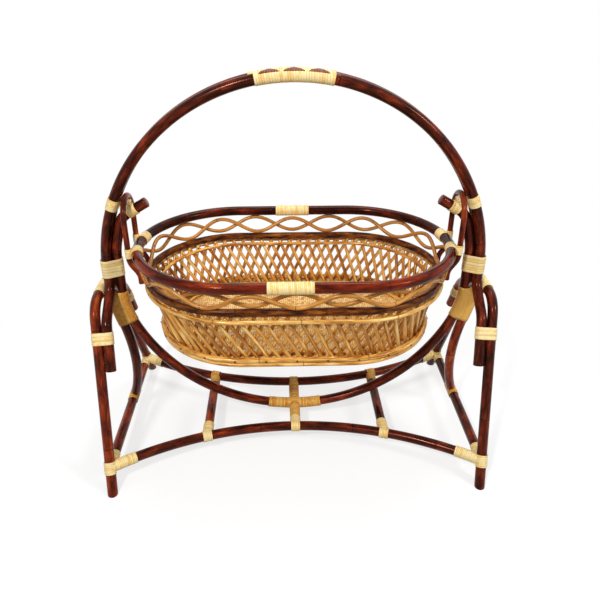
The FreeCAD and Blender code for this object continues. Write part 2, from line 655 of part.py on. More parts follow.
for side_name, side in SIDES:
    for end_name, end in ENDS:
        label = f"{end_name}_{side_name}_leg_lashing"
        height = HOOP_CENTRE - size("leg_lashing_drop")
        leg_axis = leg_point(side, end, height + 1) - leg_point(side, end, height)
        middle = (leg_point(side, end, height) + tail_point(side, end, height)) * 0.5
        outer = slot_winding(label + "_outer", middle, leg_axis, X_AXIS,
                             "Sizes.pole_diameter + Sizes.fit_gap", BESIDE_POLE,
                             "leg_lashing_length")
        node(cleared(label, outer, [arch_rooms[side], hoop_rooms[end]]))
    label = f"{side_name}_arch_lashing"
    crown_middle = Vector(side * ARCH_TOP_X, 0, ARCH_HEIGHT)
    outer = winding(label + "_outer", crown_middle, Y_AXIS, "arch_lashing_length",
                    "pole_diameter", centred=True)
    node(cleared(label, outer, [arch_rooms[side]] + both_hoops))

# Floor frame: two bowed stretchers, two side stretchers and the rungs

corner = leg_point(1, 1, FRAME_HEIGHT)
HALF_GAP = size("stretcher_half_gap")
STRETCHER_RISE = corner.y - HALF_GAP
STRETCHER_RADIUS = (corner.x ** 2 + STRETCHER_RISE ** 2) / (2 * STRETCHER_RISE)


def stretcher_place(end, x):
    """Centre of a long stretcher at a distance from the middle."""
    setback = STRETCHER_RADIUS - math.sqrt(STRETCHER_RADIUS ** 2 - x ** 2)
    return Vector(x, end * (HALF_GAP + setback), FRAME_HEIGHT)


def stretcher_heading(end, x):
    return Vector(math.sqrt(STRETCHER_RADIUS ** 2 - x ** 2), end * x, 0)


def stretcher_run(end, start_x, end_x):
    return [arc(stretcher_place(end, start_x), stretcher_place(end, (start_x + end_x) / 2),
                stretcher_place(end, end_x))]


both_arches = [arch_rooms[-1], arch_rooms[1]]
stretcher_rooms = {}
for end_name, end in ENDS:
    run = stretcher_run(end, -corner.x, corner.x)
    whole = cane(f"{end_name}_stretcher_whole", run, "pole_diameter")
    stretcher_rooms[end] = cane(f"{end_name}_stretcher_room", run, "pole_diameter", ROOM)
    node(cleared(f"{end_name}_stretcher", whole, both_arches))
both_stretchers = [stretcher_rooms[-1], stretcher_rooms[1]]

side_rooms = {}
for side_name, side in SIDES:
    front_end = leg_point(side, -1, FRAME_HEIGHT)
    rear_end = leg_point(side, 1, FRAME_HEIGHT)
    whole = rod(f"{side_name}_side_whole", front_end, rear_end, "pole_diameter")
    side_rooms[side] = rod(f"{side_name}_side_room", front_end, rear_end, "pole_diameter",
                           CROSS_ROOM)
    node(cleared(f"{side_name}_side_stretcher", whole, both_stretchers + [arch_rooms[side]]))

rung_rooms = {}
for side_name, side in SIDES:
    front_end = stretcher_place(-1, side * size("rung_offset"))
    rear_end = stretcher_place(1, side * size("rung_offset"))
    whole = rod(f"{side_name}_rung_whole", front_end, rear_end, "pole_diameter")
    rung_rooms[side] = rod(f"{side_name}_rung_room", front_end, rear_end, "pole_diameter",
                           CROSS_ROOM)
    node(cleared(f"{side_name}_rung", whole, both_stretchers))

bow_middle = Vector(0, 0, FRAME_HEIGHT)
half_rung_rooms = {}
for end_name, end in ENDS:
    outer_end = stretcher_place(end, 0)
    label = f"{end_name}_centre_rung"
    inner_end = bow_middle + Y_AXIS * (end * (POLE_RADIUS + GAP))
    whole = rod(label + "_whole", inner_end, outer_end, "pole_diameter")
    half_rung_rooms[end] = rod(label + "_room", bow_middle, outer_end, "pole_diameter",
                               CROSS_ROOM)
    node(cleared(label, whole, [stretcher_rooms[end]]))

# Lashings of the floor frame

for side_name, side in SIDES:
    for end_name, end in ENDS:
        label = f"{end_name}_{side_name}_corner_lashing"
        leg_middle = leg_point(side, end, FRAME_HEIGHT)
        leg_axis = leg_point(side, end, FRAME_HEIGHT + 1) - leg_middle
        on_leg = winding(label + "_leg", leg_middle, leg_axis, "corner_leg_length",
                         "pole_diameter", centred=True, growth=THICK_WRAP)
        long_end = side * (corner.x - size("corner_long_length"))
        on_long = cane(label + "_long", stretcher_run(end, side * corner.x, long_end),
                       "pole_diameter", WRAP)
        on_side = winding(label + "_side", leg_middle, Y_AXIS * -end, "corner_side_length",
                          "pole_diameter", growth=THIN_WRAP)
        outer = joined(label + "_outer", [on_leg, on_long, on_side])
        node(cleared(label, outer, [side_rooms[side], stretcher_rooms[end], arch_rooms[side]]))

        label = f"{end_name}_{side_name}_rung_lashing"
        rung_end = stretcher_place(end, side * size("rung_offset"))
        on_rung = winding(label + "_rung", rung_end, Y_AXIS * -end, "rung_sleeve_length",
                          "pole_diameter")
        heading = stretcher_heading(end, side * size("rung_offset"))
        on_stretcher = winding(label + "_band", rung_end, heading, "rung_band_length",
                               "pole_diameter", centred=True, growth=THICK_WRAP)
        outer = joined(label + "_outer", [on_rung, on_stretcher])
        node(cleared(label, outer, [stretcher_rooms[end], rung_rooms[side]]))

half_bow_angle = size("centre_bow_length") / 2 / BOTTOM_RADIUS
left_bow_end = BOTTOM_CENTRE + bow_direction(-half_bow_angle) * BOTTOM_RADIUS
centre_parts = [cane("centre_lashing_bow",
                     [arc(left_bow_end, bow_place(0), bow_place(half_bow_angle))],
                     "pole_diameter", THICK_WRAP)]
for end_name, end in ENDS:
    centre_parts.append(winding(f"centre_lashing_{end_name}", bow_middle, Y_AXIS * end,
                                "centre_rung_reach", "pole_diameter"))
node(cleared("centre_lashing", joined("centre_lashing_outer", centre_parts),
             [bow_room, half_rung_rooms[-1], half_rung_rooms[1]]))

for end_name, end in ENDS:
    label = f"{end_name}_centre_lashing"
    outer_end = stretcher_place(end, 0)
    sleeve_end = Vector(0, end * (size("centre_rung_reach") + GAP), FRAME_HEIGHT)
    on_rung = rod(label + "_rung", outer_end, sleeve_end, "pole_diameter", WRAP)
    on_stretcher = winding(label + "_band", outer_end, X_AXIS, "rung_band_length",
                           "pole_diameter", centred=True, growth=THICK_WRAP)
    node(cleared(label, joined(label + "_outer", [on_rung, on_stretcher]),
                 [stretcher_rooms[end], half_rung_rooms[end]]))

# Braces from the bow down to the side stretchers, with their lashings

BRACE_ANGLE = BOTTOM_ANGLE + math.radians(size("brace_bend_angle"))
brace_top = BRACE_ANGLE + math.radians(size("brace_top_angle"))
brace_bend = bow_place(BRACE_ANGLE, BESIDE_POLE)
brace_foot = Vector(corner.x, size("brace_foot_setback"), FRAME_HEIGHT)
brace_chord = brace_foot - brace_bend
bend_heading = bow_direction(BRACE_ANGLE - math.pi / 2)
bend_normal = unit(brace_chord - bend_heading * brace_chord.dot(bend_heading))
FOOT_RADIUS = brace_chord.Length ** 2 / (2 * brace_chord.dot(bend_normal))
foot_centre = brace_bend + bend_normal * FOOT_RADIUS
foot_bisector = unit((brace_bend + brace_foot) * 0.5 - foot_centre)
lower_run = arc(brace_bend, foot_centre + foot_bisector * FOOT_RADIUS, brace_foot)


def brace_run(top_angle):
    """The brace from an angle beside the bow down to its foot."""
    middle = bow_place((top_angle + BRACE_ANGLE) / 2, BESIDE_POLE)
    return [arc(bow_place(top_angle, BESIDE_POLE), middle, brace_bend), lower_run]


right_brace = brace_run(brace_top)
right_brace_room = brace_run(brace_top + GAP / SIDE_RADIUS)


def brace_place(bow_angle):
    """Point of the brace below the bend, in the plane of the bow."""
    turn = (BRACE_ANGLE - bow_angle) * SIDE_RADIUS / FOOT_RADIUS
    below = foot_centre + (bend_heading * math.sin(turn) - bend_normal * math.cos(turn)) * FOOT_RADIUS
    return Vector(below.x, 0, below.z)


tail_angle = BRACE_ANGLE - math.radians(size("brace_lashing_tail"))
full_angle = brace_top + math.radians(size("brace_lashing_cap"))
tip_angle = brace_top + math.radians(size("brace_lashing_tip"))
lashing_pairs = [(bow_place(tail_angle), brace_place(tail_angle)),
                 (bow_place(BRACE_ANGLE), brace_bend),
                 (bow_place(full_angle), bow_place(full_angle, BESIDE_POLE)),
                 (bow_place(tip_angle), bow_place(tip_angle, PEEL))]
for side_name, side in SIDES:
    edges = right_brace if side > 0 else mirrored(right_brace, X_AXIS)
    whole = cane(f"{side_name}_brace_whole", edges, "pole_diameter")
    edges = right_brace_room if side > 0 else mirrored(right_brace_room, X_AXIS)
    brace_room = cane(f"{side_name}_brace_room", edges, "pole_diameter", ROOM)
    foot_middle = Vector(side * corner.x, brace_foot.y, FRAME_HEIGHT)
    foot_wrap = winding(f"{side_name}_foot_outer", foot_middle, Y_AXIS, "brace_foot_length",
                        "pole_diameter", centred=True)
    foot_seat = doc.addObject("Part::Cylinder", f"{side_name}_foot_seat")
    foot_seat.setExpression("Radius", f"Sizes.pole_diameter / 2 + {WRAP} + {ROOM}")
    foot_seat.setExpression("Height", "Sizes.brace_foot_length")
    foot_seat.Placement = facing(foot_middle - Y_AXIS * (size("brace_foot_length") / 2), Y_AXIS)
    node(cleared(f"{side_name}_brace", whole, [foot_seat]))
    node(cleared(f"{side_name}_brace_foot_wrap", foot_wrap, [side_rooms[side]]))
    outlines = []
    for inner, outer in lashing_pairs:
        on_bow = Vector(side * inner.x, inner.y, inner.z)
        on_brace = Vector(side * outer.x, outer.y, outer.z)
        outlines.append(slot_wire(on_bow, on_brace, Y_AXIS, WRAP_RADIUS))
    spindle = shape_feature(f"{side_name}_brace_spindle", Part.makeLoft(outlines, True, True))
    node(cleared(f"{side_name}_brace_lashing", spindle, [bow_room, brace_room]))

# Basket rings

rim_edges = stadium_route(HALF_STRAIGHT, RIM_RADIUS, RIM_HEIGHT)
node(cane("top_rim", rim_edges, "pole_diameter"))
rim_room = cane("top_rim_room", rim_edges, "pole_diameter", ROOM)
node(cane("second_ring", stadium_route(HALF_STRAIGHT, SECOND_RADIUS, SECOND_HEIGHT),
          "second_ring_diameter"))
node(cane("outer_upper_ring", stadium_route(wall_straight(UPPER_HEIGHT), UPPER_RADIUS, UPPER_HEIGHT),
          "upper_ring_diameter"))
node(cane("inner_upper_ring", stadium_route(wall_straight(UPPER_HEIGHT), INNER_UPPER_RADIUS, UPPER_HEIGHT),
          "inner_ring_diameter"))
node(cane("inner_bottom_ring",
          stadium_route(wall_straight(INNER_LOWER_HEIGHT), INNER_LOWER_RADIUS, INNER_LOWER_HEIGHT),
          "inner_ring_diameter"))
node(cane("base_ring", stadium_route(LOWER_HALF_STRAIGHT, BASE_RADIUS, BASE_HEIGHT),
          "base_ring_diameter"))

for end_name, end, length, offset in (("front", -1, "front_wrap_length", -size("front_wrap_offset")),
                                      ("back", 1, "back_wrap_length", 0)):
    body = doc.addObject("PartDesign::Body", f"rim_{end_name}_wrap")
    sketch = sketch_in(body, f"rim_{end_name}_wrap_outline", "YZ_Plane")
    draw_circle(sketch, "pole_diameter", WRAP)
    draw_circle(sketch, "pole_diameter", ROOM)
    padded(body, sketch, length)
    body.Placement = Placement(Vector(offset, end * RIM_RADIUS, RIM_HEIGHT), Rotation())
    node(body)

# Lower outer ring, pierced for its nails

lower_whole = cane("outer_bottom_ring_whole",
                   stadium_route(LOWER_HALF_STRAIGHT, LOWER_RADIUS, LOWER_HEIGHT),
                   "lower_ring_diameter")
NAIL_COUNT = int(size("nail_count"))
NAIL_RADIUS = size("nail_diameter") / 2
HEAD_RADIUS = size("nail_head_diameter") / 2
HEAD_THICKNESS = NAIL_RADIUS
holes = []
nails = []
for number in range(NAIL_COUNT):
    share = (number + 0.5) / NAIL_COUNT
    spot = stadium_point(LOWER_HALF_STRAIGHT, LOWER_RADIUS, share, LOWER_HEIGHT)
    middle_x = max(-LOWER_HALF_STRAIGHT, min(LOWER_HALF_STRAIGHT, spot.x))
    outward = unit(spot - Vector(middle_x, 0, LOWER_HEIGHT))
    if abs(spot.x) < LOWER_HALF_STRAIGHT:
        outward = Vector(0, math.copysign(1, spot.y), 0)
    surface = spot + outward * LOWER_RING_RADIUS
    holes.append(Part.makeCylinder(NAIL_RADIUS + GAP / 2, 2 * LOWER_RING_RADIUS,
                                   spot - outward * GAP, outward))
    shank = Part.makeCylinder(NAIL_RADIUS, LOWER_RING_RADIUS + GAP, spot, outward)
    head = Part.makeCylinder(HEAD_RADIUS, HEAD_THICKNESS, surface + outward * GAP, outward)
    nails.append(shank.fuse(head).removeSplitter())
nail_holes = shape_feature("nail_holes", Part.makeCompound(holes))
node(cleared("outer_bottom_ring", lower_whole, [nail_holes]))
node(shape_feature("ring_nails", Part.makeCompound(nails)))

# Woven floor

floor_body = doc.addObject("PartDesign::Body", "woven_floor")
floor_sketch = sketch_in(floor_body, "woven_floor_outline")
draw_slot(floor_sketch, "Sizes.wall_bottom_straight", f"{FLOOR_RADIUS}",
          size("wall_bottom_straight"), FLOOR_RADIUS)
padded(floor_body, floor_sketch, "floor_thickness")
floor_body.Placement = Placement(Vector(0, 0, BASE_HEIGHT), Rotation())
node(floor_body)

# Spokes: two layers that slant opposite ways

SPOKE_COUNT = int(size("spoke_count"))
WALL_MIDDLE = (UPPER_HEIGHT + LOWER_HEIGHT) / 2
GIRTH = 4 * wall_straight(WALL_MIDDLE) + 2 * math.pi * wall_radius(WALL_MIDDLE)
LEAN_SHARE = size("spoke_lean") / GIRTH
SPOKE_PHASE = 0.25
for label, layer in (("outer_spokes", 1), ("inner_spokes", -1)):
    top_radius = wall_radius(SPOKE_TOP) + layer * LAYER_OFFSET
    bottom_radius = wall_radius(SPOKE_BOTTOM) + layer * LAYER_OFFSET
    spokes = []
    for number in range(SPOKE_COUNT):
        share = (number + SPOKE_PHASE) / SPOKE_COUNT
        top_share = share - layer * LEAN_SHARE / 2
        bottom_share = share + layer * LEAN_SHARE / 2
        top = stadium_point(wall_straight(SPOKE_TOP), top_radius, top_share, SPOKE_TOP)
        bottom = stadium_point(wall_straight(SPOKE_BOTTOM), bottom_radius, bottom_share,
                               SPOKE_BOTTOM)
        spokes.append(Part.makeCylinder(SPOKE_RADIUS, (top - bottom).Length, bottom, top - bottom))
    node(shape_feature(label, Part.makeCompound(spokes)))

# Scallop canes: two waved canes between the rim and the second ring

SCALLOP_SLANT = math.atan2(RIM_RADIUS - SECOND_RADIUS, RIM_HEIGHT - SECOND_HEIGHT)
SCALLOP_OFFSET = (SCALLOP_RADIUS + 2 * GAP) / math.cos(SCALLOP_SLANT)
CREST_DISTANCE = POLE_RADIUS + SCALLOP_RADIUS + GAP
TROUGH_DISTANCE = SECOND_RING_RADIUS + SCALLOP_RADIUS + GAP
CREST_HEIGHT = RIM_HEIGHT - CREST_DISTANCE
TROUGH_HEIGHT = SECOND_HEIGHT + TROUGH_DISTANCE
WAVE_SHARE = 0.46
SETTLING_STEPS = 60
SETTLING_SHARE = 0.8


def scallop_radius(height):
    share = (height - SECOND_HEIGHT) / (RIM_HEIGHT - SECOND_HEIGHT)
    return SECOND_RADIUS + share * (RIM_RADIUS - SECOND_RADIUS)


def wave_arcs(corners):
    """Arc at each corner of a closed zigzag, each taking its share of the shorter run."""
    arcs = []
    for before, corner_point, after in zip(corners[-1:] + corners, corners,
                                           corners[1:] + corners[:1]):
        shorter = min((before - corner_point).Length, (after - corner_point).Length)
        arcs.append(corner_arc(before, corner_point, after, WAVE_SHARE * shorter))
    return arcs


def wave_edges(targets):
    """Closed wave whose crests and troughs pass through the targets."""
    corners = list(targets)
    for _ in range(SETTLING_STEPS):
        arcs = wave_arcs(corners)
        corners = [corner_point + (target - bend[1]) * SETTLING_SHARE
                   for corner_point, target, bend in zip(corners, targets, arcs)]
    arcs = wave_arcs(corners)
    edges = []
    for bend, following in zip(arcs, arcs[1:] + arcs[:1]):
        edges.append(arc(*bend))
        edges.append(line(bend[2], following[0]))
    return edges


HALF_WAVES = 2 * int(size("scallop_waves"))
for label, layer in (("outer_scallop", 1), ("inner_scallop", -1)):
    targets = []
    for number in range(HALF_WAVES):
        crest = (number % 2 == 0) == (layer > 0)
        height = CREST_HEIGHT if crest else TROUGH_HEIGHT
        radius = scallop_radius(height) + layer * SCALLOP_OFFSET
        targets.append(stadium_point(HALF_STRAIGHT, radius, number / HALF_WAVES, height))
    node(cane(label, wave_edges(targets), "scallop_diameter"))

# Hangers: a loop over each neck, legs past the rim and down to the second ring

leg_foot = Vector(SEAT_X, 0, LEG_END_HEIGHT)
leg_seat = Vector(SEAT_X, 0, SEAT_HEIGHT)
leg_bend = Vector(HANGER_X, 0, LEG_BEND_HEIGHT)
leg_top = Vector(HANGER_X, 0, LOOP_HEIGHT)
sideways = Vector(0, HALF_SPREAD, 0)
right_leg = rounded_route([place + sideways for place in (leg_top, leg_bend, leg_seat, leg_foot)],
                          [size("leg_bend_radius")] * 2)
loop = arc(leg_top - sideways, leg_top + Z_AXIS * HALF_SPREAD, leg_top + sideways)
right_hanger = mirrored(right_leg, Y_AXIS) + [loop] + right_leg
for side_name, side in SIDES:
    edges = right_hanger if side > 0 else mirrored(right_hanger, X_AXIS)
    node(cane(f"{side_name}_hanger", edges, "hanger_diameter"))
    hanger_room = cane(f"{side_name}_hanger_room", edges, "hanger_diameter", ROOM)
    bindings = []
    for end_name, end in ENDS:
        label = f"{side_name}_{end_name}_binding"
        leg_spot = Vector(side * HANGER_X, end * HALF_SPREAD, RIM_HEIGHT)
        from_centre = unit(leg_spot - Vector(side * HALF_STRAIGHT, 0, RIM_HEIGHT)) * RIM_RADIUS
        half_turn = size("hanger_lashing_length") / 2 / RIM_RADIUS
        rim_run = []
        for turn in (-half_turn, 0, half_turn):
            swung = Rotation(Z_AXIS, math.degrees(turn)).multVec(from_centre)
            rim_run.append(Vector(side * HALF_STRAIGHT, 0, RIM_HEIGHT) + swung)
        on_rim = cane(label + "_rim", [arc(*rim_run)], "pole_diameter", WRAP)
        on_leg = winding(label + "_leg", leg_spot, Z_AXIS, "collar_length", "hanger_diameter",
                         centred=True)
        bindings.append(cleared(label, joined(label + "_outer", [on_rim, on_leg]),
                                [rim_room, hanger_room]))
    pair = doc.addObject("Part::Compound", f"{side_name}_hanger_lashings")
    pair.Links = bindings
    node(pair)

# Check every piece and write it out

doc.recompute()
faulty = [piece.Label for piece in doc.Objects
          if "Invalid" in piece.State or "Error" in piece.State]
faulty += [piece.Label for piece in nodes if piece.Shape.isNull() or not piece.Shape.isValid()]
if faulty:
    raise RuntimeError("faulty pieces: " + ", ".join(faulty))
os.makedirs("parts", exist_ok=True)
for piece in nodes:
    piece.Shape.exportStep(f"parts/{piece.Label}.step")
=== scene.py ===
"""Rattan cradle: canes, windings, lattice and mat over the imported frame, with a plain studio."""
import json
import math
import random
from bisect import bisect_right

import bmesh
import bpy
from bpy.props import FloatProperty, FloatVectorProperty, PointerProperty
from bpy.types import Operator, Panel, PropertyGroup
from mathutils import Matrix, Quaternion, Vector, noise


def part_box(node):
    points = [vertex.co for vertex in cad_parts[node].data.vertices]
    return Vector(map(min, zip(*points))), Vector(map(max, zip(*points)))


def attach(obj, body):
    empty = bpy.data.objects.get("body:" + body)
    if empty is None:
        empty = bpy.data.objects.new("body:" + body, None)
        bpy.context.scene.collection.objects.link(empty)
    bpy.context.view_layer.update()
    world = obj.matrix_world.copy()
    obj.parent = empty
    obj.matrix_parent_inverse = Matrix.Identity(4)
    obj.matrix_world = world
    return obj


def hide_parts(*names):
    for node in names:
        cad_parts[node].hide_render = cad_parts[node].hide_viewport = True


bl_info = {
    "name": "Rattan cradle",
    "version": (1, 0, 0),
    "blender": (4, 5, 0),
    "location": "3D View > Sidebar > Cradle",
    "description": "Canes, windings, lattice and mat of a hanging rattan cradle",
    "category": "Object",
}

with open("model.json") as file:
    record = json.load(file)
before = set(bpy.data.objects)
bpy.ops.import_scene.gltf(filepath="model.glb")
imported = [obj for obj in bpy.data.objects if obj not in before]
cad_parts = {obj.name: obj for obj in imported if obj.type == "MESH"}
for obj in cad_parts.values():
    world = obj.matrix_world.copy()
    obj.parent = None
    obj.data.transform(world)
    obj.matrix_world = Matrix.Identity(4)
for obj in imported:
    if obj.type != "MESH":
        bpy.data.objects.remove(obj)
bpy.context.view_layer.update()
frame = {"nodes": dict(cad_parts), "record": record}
BODY_OF = {node: body for body, members in frame["record"]["behaviour"]["bodies"].items()
           for node in members}

MM = 0.001
X_AXIS = Vector((1, 0, 0))
Y_AXIS = Vector((0, 1, 0))
Z_AXIS = Vector((0, 0, 1))
SIDES = (("left", -1), ("right", 1))
ENDS = (("front", -1), ("rear", 1))


def linear(code):
    """Linear colour of an sRGB hex value."""
    channels = [int(code[place:place + 2], 16) / 255 for place in (1, 3, 5)]
    return tuple(c / 12.92 if c <= 0.04045 else ((c + 0.055) / 1.055) ** 2.4
                 for c in channels) + (1.0,)


# Sizes of the cradle in metres, some read from the boxes of its solids

POLE = 28 * MM
POLE_RADIUS = POLE / 2
GAP = 0.4 * MM
PEEL = 2 * MM
SETTLING = 0.7 * MM
WRAP_RADIUS = POLE_RADIUS + GAP + PEEL
# windings that meet differ a little in thickness, so that no two faces lie in one place
THICK_WRAP = WRAP_RADIUS + 0.25 * PEEL
THIN_WRAP = WRAP_RADIUS - 0.2 * PEEL
BESIDE_POLE = POLE + GAP
HANGER_RADIUS = 7.5 * MM
SPOKE_RADIUS = 5 * MM
SCALLOP_RADIUS = 5.5 * MM
PIVOT_HEIGHT = 718.5 * MM
NECK_RADIUS = 9.5 * MM
NECK_CORE = 3.5 * MM
HOOP_CENTRE = 524 * MM
ARCH_HEIGHT = 470 * MM
FRAME_HEIGHT = 66 * MM
HANGER_TO_BOW = 45.4 * MM
ARCH_SPLAY = 33.5 * MM
ARCH_HALF_TOP = 85 * MM
FOOT_Y = 297 * MM
WALL_FOOT = 217 * MM
WALL_FLARE = 22 * MM
STRAIGHT_FLARE = 11.5 * MM
SPOKE_LEAN = 65 * MM


def ring_of(node):
    """Half straight, end radius, height and cane radius of a basket ring."""
    low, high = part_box(node)
    cane = (high.z - low.z) / 2
    radius = (high.y - low.y) / 2 - cane
    return (high.x - low.x) / 2 - cane - radius, radius, (high.z + low.z) / 2, cane


HALF_STRAIGHT, RIM_RADIUS, RIM_HEIGHT, _ = ring_of("top_rim")
_, SECOND_RADIUS, SECOND_HEIGHT, SECOND_CANE = ring_of("second_ring")
_, _, UPPER_HEIGHT, UPPER_CANE = ring_of("outer_upper_ring")
LOWER_STRAIGHT, _, LOWER_HEIGHT, _ = ring_of("outer_bottom_ring")
FLOOR_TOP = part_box("woven_floor")[1].z
HANGER_LOW, HANGER_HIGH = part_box("right_hanger")
HANGER_X = HANGER_HIGH.x - HANGER_RADIUS
HALF_SPREAD = (HANGER_HIGH.y - HANGER_LOW.y) / 2 - HANGER_RADIUS
LOOP_HEIGHT = HANGER_HIGH.z - HANGER_RADIUS - HALF_SPREAD
HOOP_HALF_GAP = BESIDE_POLE / 2
HOOP_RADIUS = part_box("front_hoop")[1].z - POLE_RADIUS - HOOP_CENTRE
BOW_X = HANGER_X + HANGER_TO_BOW
ARCH_TOP_X = HOOP_RADIUS + BESIDE_POLE
FOOT_X = ARCH_TOP_X - ARCH_SPLAY
LEG_LEAN = (FOOT_Y - ARCH_HALF_TOP) / ARCH_HEIGHT
WALL_TAPER = WALL_FLARE / (UPPER_HEIGHT - LOWER_HEIGHT)
STRAIGHT_TAPER = STRAIGHT_FLARE / (UPPER_HEIGHT - LOWER_HEIGHT)
TAPER_COSINE = math.cos(math.atan(WALL_TAPER + STRAIGHT_TAPER))
SPOKE_SAG = SPOKE_LEAN ** 2 / (8 * WALL_FOOT)
LAYER_OFFSET = (SPOKE_RADIUS + (GAP + SPOKE_SAG) / 2) / TAPER_COSINE
SPOKE_BOTTOM = FLOOR_TOP + GAP + SPOKE_RADIUS / 2
SPOKE_TOP = SECOND_HEIGHT - SECOND_CANE - GAP - SPOKE_RADIUS / 2
SPOKE_COUNT = 72
SPOKE_JOINT_GAP = 900 * MM
SPOKE_SPACING = 50 * MM
SCALLOP_WAVES = 10
SCALLOP_POINTS = 800

# Lengths of the windings and places along what they tie

GRIP_LENGTH = 190 * MM
GRIP_STEP = 14 * MM
DIAMOND_SPACING = 58 * MM
DIAMOND_HALF = 26 * MM
DIAMOND_POINT = -12 * MM
DIAMOND_EDGE = 26 * MM
HOOK_BAND = 30 * MM
MID_LASHING = 50 * MM
MID_FOOT = HOOP_CENTRE - 9 * MM
MID_PEEL = 8 * MM
ARCH_LASHING = 66 * MM
LEG_LASHING = 34 * MM
LEG_LASHING_HEIGHT = 385 * MM
LEG_PEEL = 11 * MM
CORNER_UPRIGHT = 34 * MM
CORNER_LONG = 62 * MM
CORNER_SHORT = 56 * MM
RUNG_SLEEVE = 50 * MM
RUNG_BAND = 25.2 * MM
CENTRE_LASHING = 160 * MM
CENTRE_ARM = 74 * MM
CENTRE_BAND = 26 * MM
BRACE_FOOT_WRAP = 60 * MM
RIM_FRONT_WRAP = 110 * MM
RIM_FRONT_SHIFT = -16 * MM
RIM_BACK_WRAP = 100 * MM
HANGER_BAND = 34 * MM
HANGER_SLEEVE = 26 * MM


def wall_radius(height):
    """Half width of the wall, midway between its two layers of spokes."""
    return WALL_FOOT + WALL_TAPER * (height - LOWER_HEIGHT)


def wall_straight(height):
    """Half the straight length of a side of the wall."""
    return LOWER_STRAIGHT + STRAIGHT_TAPER * (height - LOWER_HEIGHT)


# Routes: centre lines of canes, as points a few millimetres apart

STEP = 3 * MM


class Route:
    """A centre line that gives its point and heading at any length along it."""

    def __init__(self, points, closed=False):
        self.points = points + points[:1] if closed else points
        self.closed = closed
        self.marks = [0.0]
        for first, last in zip(self.points, self.points[1:]):
            self.marks.append(self.marks[-1] + (last - first).length)
        self.length = self.marks[-1]

    def point(self, along):
        """Point at a length along the line."""
        along = along % self.length if self.closed else max(0.0, min(self.length, along))
        high = min(bisect_right(self.marks, along), len(self.marks) - 1)
        low = high - 1
        share = (along - self.marks[low]) / max(self.marks[high] - self.marks[low], 1e-9)
        return self.points[low].lerp(self.points[high], share)

    def heading(self, along):
        """Direction of the line at a length along it."""
        reach = STEP if self.closed else min(STEP, self.length / 4)
        if self.closed:
            return (self.point(along + reach) - self.point(along - reach)).normalized()
        before = max(0.0, min(self.length - 2 * reach, along - reach))
        return (self.point(before + 2 * reach) - self.point(before)).normalized()


def run(start, end):
    """Points of a straight run, the last one left out."""
    count = max(1, round((end - start).length / STEP))
    return [start.lerp(end, number / count) for number in range(count)]


def swing(centre, start, axis, angle):
    """Points of an arc, the last one left out."""
    arm = start - centre
    count = max(2, round(arm.length * abs(angle) / STEP))
    return [centre + Quaternion(axis, angle * number / count) @ arm for number in range(count)]


def bent(points, radii):
    """Points of a run with its inner corners rounded."""
    route = []
    start = points[0]
    for before, corner, after, radius in zip(points, points[1:], points[2:], radii):
        back = (before - corner).normalized()
        on = (after - corner).normalized()
        turn = math.pi - back.angle(on)
        first = corner + back * radius * math.tan(turn / 2)
        centre = corner + (back + on).normalized() * radius / math.cos(turn / 2)
        route += run(start, first) + swing(centre, first, (-back).cross(on).normalized(), turn)
        start = corner + on * radius * math.tan(turn / 2)
    return route + run(start, points[-1]) + [points[-1]]


def flipped(points, axis):
    """The same points on the other side of the middle, in the opposite order."""
    return [point - axis * (2 * point.dot(axis)) for point in reversed(points)]


def ring_point(half_straight, radius, share, height):
    """Point at a share of the way round a ring, counter-clockwise from its right end."""
    quarter = radius * math.pi / 2
    along = (share % 1) * 4 * (half_straight + quarter)
    side = 2 * half_straight
    stretches = ((quarter, half_straight, 0.0), (side, None, 1), (2 * quarter, -half_straight, math.pi / 2),
                 (side, None, -1), (quarter, half_straight, 3 * math.pi / 2))
    for length, middle, angle in stretches:
        if along <= length:
            break
        along -= length
    if middle is None:
        return Vector((angle * (half_straight - along), angle * radius, height))
    angle += along / radius
    return Vector((middle + radius * math.cos(angle), radius * math.sin(angle), height))


def ring_route(half_straight, radius, height, start=0.0):
    """A closed ring with two straight sides, begun at a share of the way round."""
    girth = 4 * half_straight + 2 * math.pi * radius
    count = round(girth / STEP)
    return Route([ring_point(half_straight, radius, start + number / count, height)
                  for number in range(count)], closed=True)


def straight(start, end):
    """A straight route between two points."""
    return Route(run(start, end) + [end])


def centred(middle, heading, length):
    """A straight route of a length, half of it either side of its middle."""
    return straight(middle - heading * (length / 2), middle + heading * (length / 2))


# Arches and hoop

ARCH_BEND = 70 * MM
FOOT_OVERRUN = 12 * MM
HOOP_DROP = 45 * MM
TAIL_START = 425 * MM
TAIL_ENDS = {-1: 304 * MM, 1: 325 * MM}
TAIL_BENDS = [55 * MM, 60 * MM]


def leg_point(side, end, height):
    """Point of a leg of an end arch at a height."""
    outward = FOOT_X + ARCH_SPLAY * height / ARCH_HEIGHT
    return Vector((side * outward, end * (FOOT_Y - LEG_LEAN * height), height))


def leg_heading(side, end):
    """Direction up a leg."""
    return (leg_point(side, end, ARCH_HEIGHT) - leg_point(side, end, 0)).normalized()


def tail_point(side, end, height):
    """Point of a hoop cane's tail, inside its leg."""
    return leg_point(side, end, height) - X_AXIS * (side * BESIDE_POLE)


def arch_route(side):
    """An end arch whose legs run a little past the floor, to be cut level there."""
    corners = [leg_point(side, -1, -FOOT_OVERRUN), leg_point(side, -1, ARCH_HEIGHT),
               leg_point(side, 1, ARCH_HEIGHT), leg_point(side, 1, -FOOT_OVERRUN)]
    return Route(bent(corners, [ARCH_BEND] * 2))


